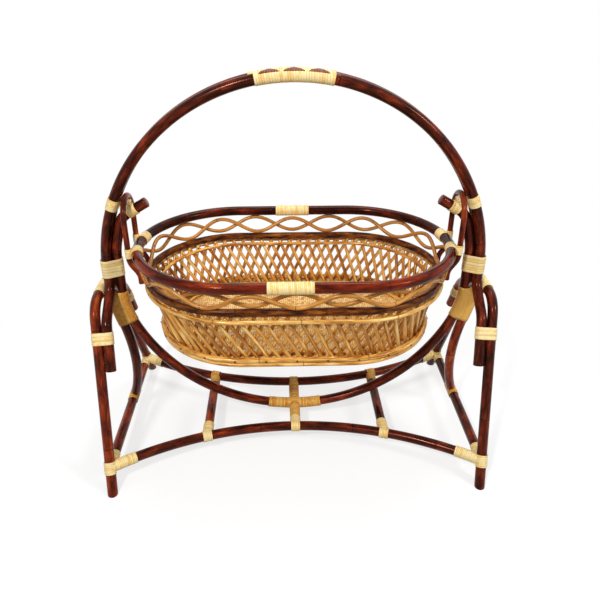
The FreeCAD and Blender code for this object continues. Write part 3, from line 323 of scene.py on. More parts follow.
def hoop_route(end):
    """One hoop cane from the cut end of its left tail to that of its right tail."""
    foot = Vector((HOOP_RADIUS, end * HOOP_HALF_GAP, HOOP_CENTRE))
    tail = bent([foot, foot - Z_AXIS * HOOP_DROP, tail_point(1, end, TAIL_START),
                 tail_point(1, end, TAIL_ENDS[end])], TAIL_BENDS)
    middle = Vector((0, foot.y, HOOP_CENTRE))
    crown = swing(middle, middle - X_AXIS * HOOP_RADIUS, Y_AXIS, math.pi)
    return Route(flipped(tail, X_AXIS)[:-1] + crown + tail)


HOOP_MIDDLE = Vector((0, 0, HOOP_CENTRE))
CROWN = Route(swing(HOOP_MIDDLE, HOOP_MIDDLE - X_AXIS * HOOP_RADIUS, Y_AXIS, math.pi)
              + [HOOP_MIDDLE + X_AXIS * HOOP_RADIUS])

# Lower bow with its hooks

BOTTOM_ANGLE = math.radians(66)
SIDE_RADIUS = 265.01 * MM
BOTTOM_RADIUS = (BOW_X - SIDE_RADIUS * (1 - math.sin(BOTTOM_ANGLE))) / math.sin(BOTTOM_ANGLE)
BOTTOM_CENTRE = Vector((0, 0, FRAME_HEIGHT + BOTTOM_RADIUS))


def bow_direction(angle):
    """Direction from the middle of the bow's circle, at an angle from straight down."""
    return Vector((math.sin(angle), 0, -math.cos(angle)))


SIDE_CENTRE = BOTTOM_CENTRE + bow_direction(BOTTOM_ANGLE) * (BOTTOM_RADIUS - SIDE_RADIUS)


def bow_place(angle, outward=0.0):
    """Point on the right half of the bow, or at a distance outside it."""
    if angle > BOTTOM_ANGLE:
        return SIDE_CENTRE + bow_direction(angle) * (SIDE_RADIUS + outward)
    return BOTTOM_CENTRE + bow_direction(angle) * (BOTTOM_RADIUS + outward)


HOOK_DROP = 130.5 * MM
HOOK_BEND_RADIUS = 200 * MM
HOOK_LEAN = math.radians(15)
SHOULDER_RISE = 90.5 * MM
SHOULDER_RADIUS = 60 * MM
PEG_LEAN = math.radians(60)
PEG_LENGTH = 84 * MM
SLEEVE_LENGTH = 27 * MM
HOOK_BEND = Vector((BOW_X, 0, PIVOT_HEIGHT - HOOK_DROP))
HOOK_SHOULDER = HOOK_BEND + Vector((-SHOULDER_RISE * math.tan(HOOK_LEAN), 0, SHOULDER_RISE))
PEG_HEADING = Vector((-math.sin(PEG_LEAN), 0, math.cos(PEG_LEAN)))
PEG_TIP = HOOK_SHOULDER + PEG_HEADING * PEG_LENGTH
SLEEVE_FOOT = HOOK_SHOULDER + PEG_HEADING * (SHOULDER_RADIUS * math.tan((PEG_LEAN - HOOK_LEAN) / 2))
PIVOT_ANGLE = math.acos((PIVOT_HEIGHT - HOOP_CENTRE) / HOOP_RADIUS)


def bow_route():
    """The lower bow from the tip of its left hook to that of its right hook."""
    start = bow_place(BOTTOM_ANGLE)
    side = swing(SIDE_CENTRE, start, -Y_AXIS, math.pi / 2 - BOTTOM_ANGLE)
    hook = bent([bow_place(math.pi / 2), HOOK_BEND, HOOK_SHOULDER, PEG_TIP],
                [HOOK_BEND_RADIUS, SHOULDER_RADIUS])
    bottom = swing(BOTTOM_CENTRE, Vector((-start.x, 0, start.z)), -Y_AXIS, 2 * BOTTOM_ANGLE)
    right = side + hook
    return Route(flipped(right, X_AXIS)[:-1] + bottom + right)


# Floor frame and braces

CORNER = leg_point(1, 1, FRAME_HEIGHT)
HALF_GAP = 110 * MM
STRETCHER_RISE = CORNER.y - HALF_GAP
STRETCHER_RADIUS = (CORNER.x ** 2 + STRETCHER_RISE ** 2) / (2 * STRETCHER_RISE)
RUNG_X = 255 * MM


def stretcher_point(end, x):
    """Point of the front or rear stretcher, which bows towards the middle."""
    setback = STRETCHER_RADIUS - math.sqrt(STRETCHER_RADIUS ** 2 - x ** 2)
    return Vector((x, end * (HALF_GAP + setback), FRAME_HEIGHT))


def stretcher_route(end, start_x, end_x):
    """A stretch of the front or rear stretcher."""
    count = max(2, round(abs(end_x - start_x) / STEP))
    return Route([stretcher_point(end, start_x + (end_x - start_x) * number / count)
                  for number in range(count + 1)])


BRACE_FOOT_Y = 52 * MM
BRACE_ANGLE = BOTTOM_ANGLE + math.radians(7)
BRACE_TOP = BRACE_ANGLE + math.radians(9)
BRACE_BEND = bow_place(BRACE_ANGLE, BESIDE_POLE)
BRACE_FOOT = Vector((CORNER.x, BRACE_FOOT_Y, FRAME_HEIGHT))
BRACE_CHORD = BRACE_FOOT - BRACE_BEND
BRACE_HEADING = bow_direction(BRACE_ANGLE - math.pi / 2)
BRACE_NORMAL = (BRACE_CHORD - BRACE_HEADING * BRACE_CHORD.dot(BRACE_HEADING)).normalized()
FOOT_RADIUS = BRACE_CHORD.length ** 2 / (2 * BRACE_CHORD.dot(BRACE_NORMAL))
FOOT_CENTRE = BRACE_BEND + BRACE_NORMAL * FOOT_RADIUS


def brace_route(side):
    """A brace from beside the bow down and back to the winding on its side stretcher."""
    upper = swing(SIDE_CENTRE, bow_place(BRACE_TOP, BESIDE_POLE), Y_AXIS, BRACE_TOP - BRACE_ANGLE)
    turn = (BRACE_BEND - FOOT_CENTRE).angle(BRACE_FOOT - FOOT_CENTRE)
    lower = swing(FOOT_CENTRE, BRACE_BEND, BRACE_HEADING.cross(BRACE_NORMAL), turn)
    points = [point for point in upper + lower
              if math.hypot(point.x - BRACE_FOOT.x, point.z - BRACE_FOOT.z) > WRAP_RADIUS]
    return Route(points if side > 0 else flipped(points, X_AXIS)[::-1])


# Basket routes

HANGER_BEND = 40 * MM
HANGER_KNEE = RIM_HEIGHT - 26 * MM
HANGER_SEAT = RIM_HEIGHT - 61 * MM


def hanger_route(side):
    """A loop over the neck, with legs that cross the rim and run down outside the second ring."""
    outward = SECOND_RADIUS + SECOND_CANE + GAP + HANGER_RADIUS
    seat_x = HALF_STRAIGHT + math.sqrt(outward ** 2 - HALF_SPREAD ** 2)
    places = [Vector((HANGER_X, 0, LOOP_HEIGHT)), Vector((HANGER_X, 0, HANGER_KNEE)),
              Vector((seat_x, 0, HANGER_SEAT)), Vector((seat_x, 0, UPPER_HEIGHT + UPPER_CANE + GAP))]
    leg = bent([place + Y_AXIS * HALF_SPREAD for place in places], [HANGER_BEND] * 2)
    middle = places[0]
    loop = swing(middle, middle - Y_AXIS * HALF_SPREAD, -X_AXIS, math.pi)
    points = flipped(leg, Y_AXIS)[:-1] + loop + leg
    return Route(points if side > 0 else [Vector((-p.x, p.y, p.z)) for p in points])


def scallop_route(layer):
    """A waved cane, its crests close under the rim and its troughs close above the second ring."""
    crest = RIM_HEIGHT - POLE_RADIUS - SCALLOP_RADIUS - GAP
    trough = SECOND_HEIGHT + SECOND_CANE + SCALLOP_RADIUS + GAP
    slant = math.atan2(RIM_RADIUS - SECOND_RADIUS, RIM_HEIGHT - SECOND_HEIGHT)
    offset = (SCALLOP_RADIUS + 2 * GAP) / math.cos(slant)
    points = []
    for number in range(SCALLOP_POINTS):
        share = number / SCALLOP_POINTS
        wave = math.cos(2 * math.pi * SCALLOP_WAVES * share) * layer
        height = (crest + trough) / 2 + (crest - trough) / 2 * wave
        rise = (height - SECOND_HEIGHT) / (RIM_HEIGHT - SECOND_HEIGHT)
        radius = SECOND_RADIUS + rise * (RIM_RADIUS - SECOND_RADIUS) + layer * offset
        points.append(ring_point(HALF_STRAIGHT, radius, share, height))
    return Route(points, closed=True)


# Modelling helpers

# a cane joint: place in mm along the cane, swell of its radius and darkness of its ring
JOINT = ((-5, 1.0, 0.0), (-2.2, 1.012, 0.25), (-0.6, 0.985, 1.0), (0.8, 1.015, 0.5), (3.5, 1.005, 0.0))
# an eased cut end: place in mm from the end and share of the radius
CUT_END = ((0.0, 0.80), (0.5, 0.93), (1.8, 1.0))
# one turn of peel: share of its width and drop in mm below its crown
TURN = ((0.03, 0.5), (0.2, 0.08), (0.5, 0.0), (0.8, 0.08), (0.97, 0.5))
JOINT_TO_END = 12 * MM
MEAN_THICKNESS = 0.984
UNEVENNESS = 0.012
UNEVEN_LENGTH = 110 * MM
DEEPEST_TURN = 0.22 * MM
TURN_TILT = 0.22
ARC_STEPS = 12
INNER_SPACING = 20 * MM
STRIPS = 7
STRIP_SPACING = 8 * MM
STRIP_POINTS = 6
STRIP_SEAM = 0.45 * MM


def begun():
    """A mesh with room for places along and across a cane, for its tone and joints, and for the depths from
    which the windings' seams get painted shade.
    """
    bm = bmesh.new()
    bm.verts.layers.float_vector.new("cane_place")
    bm.verts.layers.float_vector.new("joints_and_seam_shade")
    return bm


def rolled(bm, rows, sides, place):
    """A flat grid rolled into a tube: place gives point, cane place and marks of each vertex."""
    place_layer = bm.verts.layers.float_vector["cane_place"]
    marks_layer = bm.verts.layers.float_vector["joints_and_seam_shade"]
    grid = bmesh.ops.create_grid(bm, x_segments=rows, y_segments=sides, size=0.5)
    for vert in grid["verts"]:
        row = round((vert.co.x + 0.5) * rows)
        side = round((vert.co.y + 0.5) * sides) % sides
        vert.co, vert[place_layer], vert[marks_layer] = place(row, side)
    bmesh.ops.remove_doubles(bm, verts=grid["verts"], dist=1e-6)


def capped(bm):
    """Closes the open ends of the canes in a mesh."""
    bmesh.ops.holes_fill(bm, edges=[edge for edge in bm.edges if edge.is_boundary], sides=0)


def finished(bm, node, *finishes):
    """The object of a piece that stands for a node of the frame, with its materials."""
    bmesh.ops.recalc_face_normals(bm, faces=bm.faces)
    for face in bm.faces:
        face.smooth = True
    mesh = bpy.data.meshes.new(node)
    bm.to_mesh(mesh)
    bm.free()
    piece = bpy.data.objects.new("dressed_" + node, mesh)
    bpy.context.scene.collection.objects.link(piece)
    for finish in finishes:
        mesh.materials.append(finish_of(finish))
    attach(piece, BODY_OF[node])
    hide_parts(node)
    return piece


def around(heading, reference):
    """Two directions across a heading, the first as near as can be to the reference."""
    first = (reference - heading * reference.dot(heading)).normalized()
    return first, heading.cross(first)


def add_cane(bm, route, radius, reference, seed, joint_gap, sides=20, spacing=6 * MM):
    """A cane along a route, with its joints, slight unevenness and eased cut ends."""
    rng = random.Random(seed)
    shift = rng.uniform(0, 50)
    tone = rng.random()
    count = max(2, round(route.length / spacing))
    rows = {route.length * number / count: (1.0, 0.0) for number in range(count + 1)}
    joint = rng.uniform(0.2, 0.9) * joint_gap
    while joint < route.length - JOINT_TO_END:
        for step, swell, mark in JOINT:
            rows[joint + step * MM] = (swell, mark)
        joint += joint_gap * rng.uniform(0.8, 1.25)
    if not route.closed:
        for step, swell in CUT_END:
            rows[step * MM] = (swell, 0.0)
            rows[route.length - step * MM] = (swell, 0.0)
    stations = sorted(rows)
    places = []
    for along in stations:
        swell, mark = rows[along]
        uneven = MEAN_THICKNESS + UNEVENNESS * noise.noise(Vector((along / UNEVEN_LENGTH, shift, 0)))
        places.append((route.point(along), around(route.heading(along), reference),
                       radius * swell * uneven, mark))

    def place(row, side):
        centre, (first, second), thickness, mark = places[row]
        angle = 2 * math.pi * side / sides
        across = Vector((math.cos(angle), math.sin(angle))) * thickness
        return (centre + first * across.x + second * across.y,
                Vector((stations[row] + shift, across.x, across.y)), Vector((tone, mark, 0)))

    rolled(bm, len(stations) - 1, sides, place)
    if not route.closed:
        capped(bm)


def hull_outline(centres, radius):
    """Outline at a distance round one to three centres across a cane."""
    if len(centres) == 1:
        count = 3 * ARC_STEPS
        return [centres[0] + Vector((math.cos(turn), math.sin(turn))) * radius
                for turn in (2 * math.pi * number / count for number in range(count))]
    middle = sum(centres, Vector((0, 0))) / len(centres)
    ordered = centres if len(centres) == 2 else sorted(
        centres, key=lambda c: math.atan2(c.y - middle.y, c.x - middle.x))
    outline = []
    for before, centre, after in zip(ordered[-1:] + ordered, ordered, ordered[1:] + ordered[:1]):
        enter = Vector(((centre - before).y, -(centre - before).x))
        leave = Vector(((after - centre).y, -(after - centre).x))
        begin = math.atan2(enter.y, enter.x)
        sweep = (math.atan2(leave.y, leave.x) - begin) % (2 * math.pi)
        for number in range(ARC_STEPS + 1):
            turn = begin + sweep * number / ARC_STEPS
            outline.append(centre + Vector((math.cos(turn), math.sin(turn))) * radius)
        # three points on the flat that follows, for the grip's diamonds to end on
        landing = after + leave.normalized() * radius
        outline.extend([outline[-1].lerp(landing, share) for share in (0.25, 0.5, 0.75)])
    return outline


def one_cane(along):
    """Centre of the cane under a plain winding, from its route."""
    return [Vector((0, 0, 0))]


def add_winding(bm, route, reference, seed, radius=WRAP_RADIUS, core=POLE_RADIUS, centres=one_cane,
                peel=None, span=None):
    """Peel pulled tight, turn by turn, round one or more canes along a route or a span of it."""
    rng = random.Random(seed)
    start, end = span or (0.0, route.length)
    turns = max(2, round((end - start) / (peel or bpy.context.scene.cradle_sizes.peel_width)))
    width = (end - start) / turns
    depth = radius - core
    tilt = rng.choice((-1, 1)) * TURN_TILT * width
    rows = [(start, depth, 0, 0.0)]
    for turn in range(turns):
        tone = rng.random()
        sink = rng.uniform(0, DEEPEST_TURN)
        lean = tilt if 0 < turn < turns - 1 else 0.0
        for share, drop in TURN:
            rows.append((start + (turn + share) * width, sink + drop * MM, lean, tone))
    rows.append((end, depth, 0, 0.0))
    back = max(2, round((end - start) / INNER_SPACING))
    for number in range(1, back):
        rows.append((end + (start - end) * number / back, depth, 0, 0.0))
    rows.append(rows[0])
    cache = {}
    middle = (start + end) / 2

    def section(along, drop):
        key = (round(along, 7), round(drop, 7))
        if key not in cache:
            first, second = around(route.heading(along), reference)
            flat = [Vector((offset.dot(first), offset.dot(second))) for offset in centres(along)]
            cache[key] = (route.point(along), first, second,
                          hull_outline(flat, radius - SETTLING - drop))
        return cache[key]

    sides = len(section(start, depth)[3])

    def place(row, side):
        along, drop, lean, tone = rows[row]
        swung = along + lean * math.cos(2 * math.pi * side / sides)
        centre, first, second, outline = section(swung, drop)
        spot = outline[side]
        # the drop below the crown goes to the material, which paints shade into the seams from it
        return (centre + first * spot.x + second * spot.y,
                Vector((along - middle, spot.x, spot.y)), Vector((tone, drop / MM, 0)))

    rolled(bm, len(rows) - 1, sides, place)


def add_strips(bm, route, reference, seed, centres, radius=WRAP_RADIUS, core=POLE_RADIUS):
    """Broad strips laid lengthwise, edge to edge, round the canes along a route."""
    rng = random.Random(seed)
    tones = [rng.random() for strip in range(STRIPS)]
    sides = STRIP_POINTS * STRIPS
    depth = radius - core
    count = max(4, round(route.length / STRIP_SPACING))
    lengths = [route.length * number / count for number in range(count + 1)]
    outside = [(along, 0.0) for along in lengths]
    inside = [(along, depth) for along in reversed(lengths)]
    rows = [(0.0, depth)] + outside + inside
    sections = []
    for along, drop in rows:
        first, second = around(route.heading(along), reference)
        flat = [Vector((offset.dot(first), offset.dot(second))) for offset in centres(along)]
        loop = Route([spot.to_3d() for spot in hull_outline(flat, radius - SETTLING - drop)], True)
        spots = [loop.point(loop.length * side / sides) for side in range(sides)]
        sections.append((route.point(along), first, second, spots, loop.length / sides))

    def place(row, side):
        along, drop = rows[row]
        centre, first, second, spots, step = sections[row]
        # seams between strips sink a little, and the material paints shade into them from that depth
        seam = STRIP_SEAM if side % STRIP_POINTS == 0 and drop == 0 else 0.0
        spot = spots[side] * (1 - seam / radius)
        return (centre + first * spot.x + second * spot.y, Vector((side * step, along, 0)),
                Vector((tones[side // STRIP_POINTS], (seam + drop) / MM, 0)))

    rolled(bm, len(rows) - 1, sides, place)


# Materials

def add(tree, kind, values=None, **settings):
    """Adds a node with its settings; values are numbers, colours or outputs of other nodes."""
    node = tree.nodes.new(kind)
    for name, value in settings.items():
        setattr(node, name, value)
    for name, value in (values or {}).items():
        if isinstance(value, bpy.types.NodeSocket):
            tree.links.new(value, node.inputs[name])
        else:
            node.inputs[name].default_value = value
    return node


def started(name):
    """A new material with its tree and shader."""
    material = bpy.data.materials.new(name)
    material.use_nodes = True
    tree = material.node_tree
    return material, tree, tree.nodes["Principled BSDF"]


def graded(ramp, stops):
    """Sets the stops of a colour ramp."""
    elements = ramp.color_ramp.elements
    while len(elements) > 1:
        elements.remove(elements[-1])
    elements[0].position, elements[0].color = stops[0]
    for position, colour in stops[1:]:
        elements.new(position).color = colour
    return ramp.outputs["Color"]


def shades(places, *codes):
    """Stops of a colour ramp at places along it, from sRGB values."""
    return tuple(zip(places, map(linear, codes)))


def varnished_cane(name, stops, joint, patch_length, patch_width, roughness, gloss, glint):
    """Rattan under varnish: patches and fibres run along the cane, joints show as rings."""
    fibre_length, fibre_spacing = 90 * MM, 1.4 * MM
    material, tree, shader = started(name)
    place = add(tree, "ShaderNodeAttribute", attribute_name="cane_place")
    marks = add(tree, "ShaderNodeAttribute", attribute_name="joints_and_seam_shade")
    split = add(tree, "ShaderNodeSeparateXYZ", {"Vector": marks.outputs["Vector"]})
    # patches of stain or ripening, drawn out along the cane
    patch_place = add(tree, "ShaderNodeMapping",
                      {"Vector": place.outputs["Vector"],
                       "Scale": (1 / patch_length, 1 / patch_width, 1 / patch_width)})
    patches = add(tree, "ShaderNodeTexNoise",
                  {"Vector": patch_place.outputs["Vector"], "Scale": 1.0, "Detail": 4.0,
                   "Roughness": 0.62, "Distortion": 0.35})
    # fibres drawn about three times as coarse as real so that they show
    fibre_place = add(tree, "ShaderNodeMapping",
                      {"Vector": place.outputs["Vector"],
                       "Scale": (1 / fibre_length, 1 / fibre_spacing, 1 / fibre_spacing)})
    fibres = add(tree, "ShaderNodeTexNoise",
                 {"Vector": fibre_place.outputs["Vector"], "Scale": 1.0, "Detail": 2.0})
    toned = add(tree, "ShaderNodeMath", {0: split.outputs["X"], 1: 0.16, 2: -0.08},
                operation="MULTIPLY_ADD")
    mixed = add(tree, "ShaderNodeMath",
                {0: patches.outputs["Fac"], 1: toned.outputs["Value"]}, operation="ADD")
    streaked = add(tree, "ShaderNodeMath",
                   {0: fibres.outputs["Fac"], 1: 0.16, 2: mixed.outputs["Value"]},
                   operation="MULTIPLY_ADD")
    settled = add(tree, "ShaderNodeMath", {0: streaked.outputs["Value"], 1: 0.08},
                  operation="SUBTRACT")
    ramp = add(tree, "ShaderNodeValToRGB", {"Fac": settled.outputs["Value"]})
    colour = graded(ramp, stops)
    ringed = add(tree, "ShaderNodeMix", {"Factor": split.outputs["Y"], 6: colour, 7: linear(joint)},
                 data_type="RGBA")
    tree.links.new(ringed.outputs[2], shader.inputs["Base Color"])
    worn = add(tree, "ShaderNodeMapRange",
               {"Value": patches.outputs["Fac"], "From Min": 0.3, "From Max": 0.7,
                "To Min": roughness, "To Max": roughness + 0.12})
    tree.links.new(worn.outputs["Result"], shader.inputs["Roughness"])
    bump = add(tree, "ShaderNodeBump",
               {"Height": fibres.outputs["Fac"], "Strength": 0.25, "Distance": 0.25 * MM})
    tree.links.new(bump.outputs["Normal"], shader.inputs["Normal"])
    shader.inputs["Specular IOR Level"].default_value = gloss
    shader.inputs["Specular Tint"].default_value = linear(glint)
    return material


def wound_peel(name, stops, shade):
    """Split cane peel: a satin skin, each turn a little lighter or darker, painted shade in the seams."""
    spot, fibre_length, fibre_spacing = 9 * MM, 20 * MM, 0.9 * MM
    material, tree, shader = started(name)
    place = add(tree, "ShaderNodeAttribute", attribute_name="cane_place")
    marks = add(tree, "ShaderNodeAttribute", attribute_name="joints_and_seam_shade")
    split = add(tree, "ShaderNodeSeparateXYZ", {"Vector": marks.outputs["Vector"]})
    spotted = add(tree, "ShaderNodeTexNoise",
                  {"Vector": place.outputs["Vector"], "Scale": 1 / spot, "Detail": 3.0})
    # fibres run with the peel, and are drawn about twice as coarse as real so that they show
    fibre_place = add(tree, "ShaderNodeMapping",
                      {"Vector": place.outputs["Vector"],
                       "Scale": (1 / fibre_spacing, 1 / fibre_length, 1 / fibre_length)})
    fibres = add(tree, "ShaderNodeTexNoise",
                 {"Vector": fibre_place.outputs["Vector"], "Scale": 1.0, "Detail": 2.0})
    toned = add(tree, "ShaderNodeMath",
                {0: split.outputs["X"], 1: 0.55, 2: spotted.outputs["Fac"]},
                operation="MULTIPLY_ADD")
    streaked = add(tree, "ShaderNodeMath",
                   {0: fibres.outputs["Fac"], 1: 0.35, 2: toned.outputs["Value"]},
                   operation="MULTIPLY_ADD")
    ramp = add(tree, "ShaderNodeValToRGB", {"Fac": streaked.outputs["Value"]})
    colour = graded(ramp, stops)
    # painted shade: the deeper a spot lies below the crown of its turn, the more of the shade colour it
    # takes
    seam = add(tree, "ShaderNodeMapRange",
               {"Value": split.outputs["Y"], "From Min": 0.25, "From Max": 0.75,
                "To Min": 0.0, "To Max": 0.6})
    shaded = add(tree, "ShaderNodeMix",
                 {"Factor": seam.outputs["Result"], 6: colour, 7: linear(shade)}, data_type="RGBA")
    tree.links.new(shaded.outputs[2], shader.inputs["Base Color"])
    bump = add(tree, "ShaderNodeBump",
               {"Height": fibres.outputs["Fac"], "Strength": 0.2, "Distance": 0.2 * MM})
    tree.links.new(bump.outputs["Normal"], shader.inputs["Normal"])
    shader.inputs["Roughness"].default_value = 0.42
    shader.inputs["Specular IOR Level"].default_value = 0.3
    shader.inputs["Specular Tint"].default_value = linear("#ffe0b0")
    return material


def plaited_split_cane(name):
    """Floor: split cane plaited two over and two under, golden strips with painted shade in the dark gaps
    between them.
    """
    strip_width, spot = 6 * MM, 11 * MM
    material, tree, shader = started(name)
    coords = add(tree, "ShaderNodeTexCoord")
    counted = add(tree, "ShaderNodeMapping",
                  {"Vector": coords.outputs["Object"], "Scale": (1 / strip_width,) * 3})
    cell = add(tree, "ShaderNodeSeparateXYZ", {"Vector": counted.outputs["Vector"]})
    low_x = add(tree, "ShaderNodeMath", {0: cell.outputs["X"]}, operation="FLOOR")
    low_y = add(tree, "ShaderNodeMath", {0: cell.outputs["Y"]}, operation="FLOOR")
    both = add(tree, "ShaderNodeMath", {0: low_x.outputs["Value"], 1: low_y.outputs["Value"]},
               operation="ADD")
    turn = add(tree, "ShaderNodeMath", {0: both.outputs["Value"], 1: 4.0}, operation="FLOORED_MODULO")
    over = add(tree, "ShaderNodeMath", {0: turn.outputs["Value"], 1: 1.5}, operation="LESS_THAN")
    part_x = add(tree, "ShaderNodeMath", {0: cell.outputs["X"]}, operation="FRACT")
    part_y = add(tree, "ShaderNodeMath", {0: cell.outputs["Y"]}, operation="FRACT")
    across = add(tree, "ShaderNodeMix", {"Factor": over.outputs["Value"], 2: part_y.outputs["Value"],
                                         3: part_x.outputs["Value"]}, data_type="FLOAT")
    off_middle = add(tree, "ShaderNodeMath", {0: across.outputs[0], 1: 0.5}, operation="SUBTRACT")
    edge = add(tree, "ShaderNodeMath", {0: off_middle.outputs["Value"]}, operation="ABSOLUTE")
    crown = add(tree, "ShaderNodeMapRange", {"Value": edge.outputs["Value"], "From Min": 0.28,
                                             "From Max": 0.5, "To Min": 1.0, "To Max": 0.0})
    strip = add(tree, "ShaderNodeMix", {"Factor": over.outputs["Value"], 2: low_y.outputs["Value"],
                                        3: low_x.outputs["Value"]}, data_type="FLOAT")
    tone = add(tree, "ShaderNodeTexWhiteNoise", {"W": strip.outputs[0]}, noise_dimensions="1D")
    spots = add(tree, "ShaderNodeTexNoise",
                {"Vector": coords.outputs["Object"], "Scale": 1 / spot, "Detail": 3.0})
    mixed = add(tree, "ShaderNodeMath", {0: tone.outputs["Value"], 1: 0.45, 2: spots.outputs["Fac"]},
                operation="MULTIPLY_ADD")
    ramp = add(tree, "ShaderNodeValToRGB", {"Fac": mixed.outputs["Value"]})
    colour = graded(ramp, shades((0.35, 0.65, 0.95), "#ba7c36", "#efb55f", "#fcdc98"))
    # painted shade: each strip darkens towards its edges into the gap colour
    gap_shaded = add(tree, "ShaderNodeMix",
                 {"Factor": crown.outputs["Result"], 6: linear("#6e4419"), 7: colour}, data_type="RGBA")
    tree.links.new(gap_shaded.outputs[2], shader.inputs["Base Color"])
    bump = add(tree, "ShaderNodeBump",
               {"Height": crown.outputs["Result"], "Strength": 0.7, "Distance": 0.8 * MM})
    tree.links.new(bump.outputs["Normal"], shader.inputs["Normal"])
    shader.inputs["Roughness"].default_value = 0.5
    return material


def forged_iron(name):
    """Nail heads: dark oxide with brighter spots where the hammer struck."""
    hammer_mark = 1.5 * MM
    material, tree, shader = started(name)
    coords = add(tree, "ShaderNodeTexCoord")
    spots = add(tree, "ShaderNodeTexNoise",
                {"Vector": coords.outputs["Object"], "Scale": 1 / hammer_mark, "Detail": 2.0})
    ramp = add(tree, "ShaderNodeValToRGB", {"Fac": spots.outputs["Fac"]})
    colour = graded(ramp, shades((0.4, 0.75), "#3a2c22", "#6b5a4a"))
    tree.links.new(colour, shader.inputs["Base Color"])
    shader.inputs["Metallic"].default_value = 1.0
    shader.inputs["Roughness"].default_value = 0.45
    return material


def scorched_varnished_rattan(name):
    """Stand: rattan scorched and stained, dark red with burnt and paler patches, and glossy."""
    tint = bpy.context.scene.cradle_colours
    stops = ((0.33, tint.burnt[:]), (0.47, tint.mahogany[:]), (0.6, tint.russet[:]), (0.76, tint.ember[:]))
    return varnished_cane(name, stops, "#160605", 62 * MM, 16 * MM, 0.14, 0.26, "#ffa488")


def mahogany_gloss_rattan(name):
    """Front of the rim: a redder stain under thicker varnish, with sharp lights along its crown; the lit
    part of the rim, beside a rear painted darker as shade.
    """
    stops = shades((0.33, 0.47, 0.6, 0.76), "#320e08", "#631f11", "#8c3017", "#b4541f")
    return varnished_cane(name, stops, "#1c0805", 80 * MM, 18 * MM, 0.1, 0.22, "#ff9672")


def rim_rear_painted_shade_rattan(name):
    """Rear and ends of the rim: the same cane painted nearly black with few red patches, as painted shade
    on the part turned from the lamps.
    """
    stops = shades((0.36, 0.5, 0.64, 0.78), "#1a0805", "#38130b", "#632011", "#963817")
    return varnished_cane(name, stops, "#120503", 62 * MM, 16 * MM, 0.14, 0.2, "#ff9c80")


def scorched_amber_rattan(name):
    """Second ring: natural rattan half scorched, amber to black in patches, less glossy."""
    stops = shades((0.36, 0.5, 0.68), "#2c120a", "#6b3513", "#b06a24")
    return varnished_cane(name, stops, "#1c0a06", 50 * MM, 12 * MM, 0.24, 0.2, "#ffc8a0")


def varnished_natural_rattan(name):
    """Wall and natural rings: unstained rattan, golden with amber streaks and bright crowns."""
    tint = bpy.context.scene.cradle_colours
    stops = ((0.38, tint.amber[:]), (0.53, tint.honey[:]), (0.68, tint.straw[:]))
    return varnished_cane(name, stops, "#7d4a1c", 70 * MM, 8 * MM, 0.16, 0.9, "#ffdc9c")


def varnished_scallop_rattan(name):
    """Scallops: thin rattan bent hot, browner and duller than the wall."""
    stops = shades((0.3, 0.52, 0.75), "#935320", "#c88638", "#e2ac5c")
    return varnished_cane(name, stops, "#6b3d17", 70 * MM, 8 * MM, 0.2, 0.6, "#ffdca0")


def wound_cane_peel(name):
    """Most lashings: fresh peel, cream with straw-coloured turns."""
    tint = bpy.context.scene.cradle_colours
    stops = ((0.45, tint.biscuit[:]), (0.8, tint.cream[:]), (1.0, linear("#fde8ac")))
    return wound_peel(name, stops, "#b67a34")


def tan_peel_with_painted_shade(name):
    """Lower and rear lashings: a tan peel, partly an older, darker peel and partly painted shade for
    lashings that sit low and at the back.
    """
    return wound_peel(name, shades((0.45, 0.8, 1.0), "#c67f2f", "#da963c", "#ecb75e"), "#7c4a1c")


def dark_woven_peel(name):
    """Diamonds of the grip: peel stained dark red before it was woven in."""
    return wound_peel(name, shades((0.45, 0.8, 1.0), "#3c120b", "#5a1c10", "#742a17"), "#240a06")


def finish_of(finish):
    """The material that one of these functions makes, made once and named like it."""
    name = finish.__name__
    return bpy.data.materials[name] if name in bpy.data.materials else finish(name)


# Settings that a user would change

class CradleColours(PropertyGroup):
    burnt: FloatVectorProperty(name="Burnt", description="Darkest scorching of the poles",
                               subtype="COLOR", size=4, min=0, max=1, default=linear("#1e0a06"))
    mahogany: FloatVectorProperty(name="Mahogany", description="Main stain of the poles",
                                  subtype="COLOR", size=4, min=0, max=1, default=linear("#4e1a0f"))
    russet: FloatVectorProperty(name="Russet", description="Lighter stain of the poles",
                                subtype="COLOR", size=4, min=0, max=1, default=linear("#822e15"))
    ember: FloatVectorProperty(name="Ember", description="Palest patches of the poles",
                               subtype="COLOR", size=4, min=0, max=1, default=linear("#b3521f"))
    honey: FloatVectorProperty(name="Honey", description="Main colour of the natural canes",
                               subtype="COLOR", size=4, min=0, max=1, default=linear("#e2a145"))
    amber: FloatVectorProperty(name="Amber", description="Darker streaks of the natural canes",
                               subtype="COLOR", size=4, min=0, max=1, default=linear("#9c591a"))
    straw: FloatVectorProperty(name="Straw", description="Palest streaks of the natural canes",
                               subtype="COLOR", size=4, min=0, max=1, default=linear("#fcd98c"))
    cream: FloatVectorProperty(name="Cream", description="Main colour of the windings",
                               subtype="COLOR", size=4, min=0, max=1, default=linear("#fad688"))
    biscuit: FloatVectorProperty(name="Biscuit", description="Darker turns of the windings",
                                 subtype="COLOR", size=4, min=0, max=1, default=linear("#eebb66"))


class CradleSizes(PropertyGroup):
    joint_gap: FloatProperty(name="Joint spacing", description="Usual length between cane joints",
                             subtype="DISTANCE", unit="LENGTH", min=0.05, default=0.26)
    peel_width: FloatProperty(name="Peel width", description="Width of one turn of a lashing",
                              subtype="DISTANCE", unit="LENGTH", min=0.002, default=4.6 * MM)
    grip_peel_width: FloatProperty(name="Grip peel width", description="Width of one turn of the grip",
                                   subtype="DISTANCE", unit="LENGTH", min=0.002, default=6.2 * MM)


# Pieces

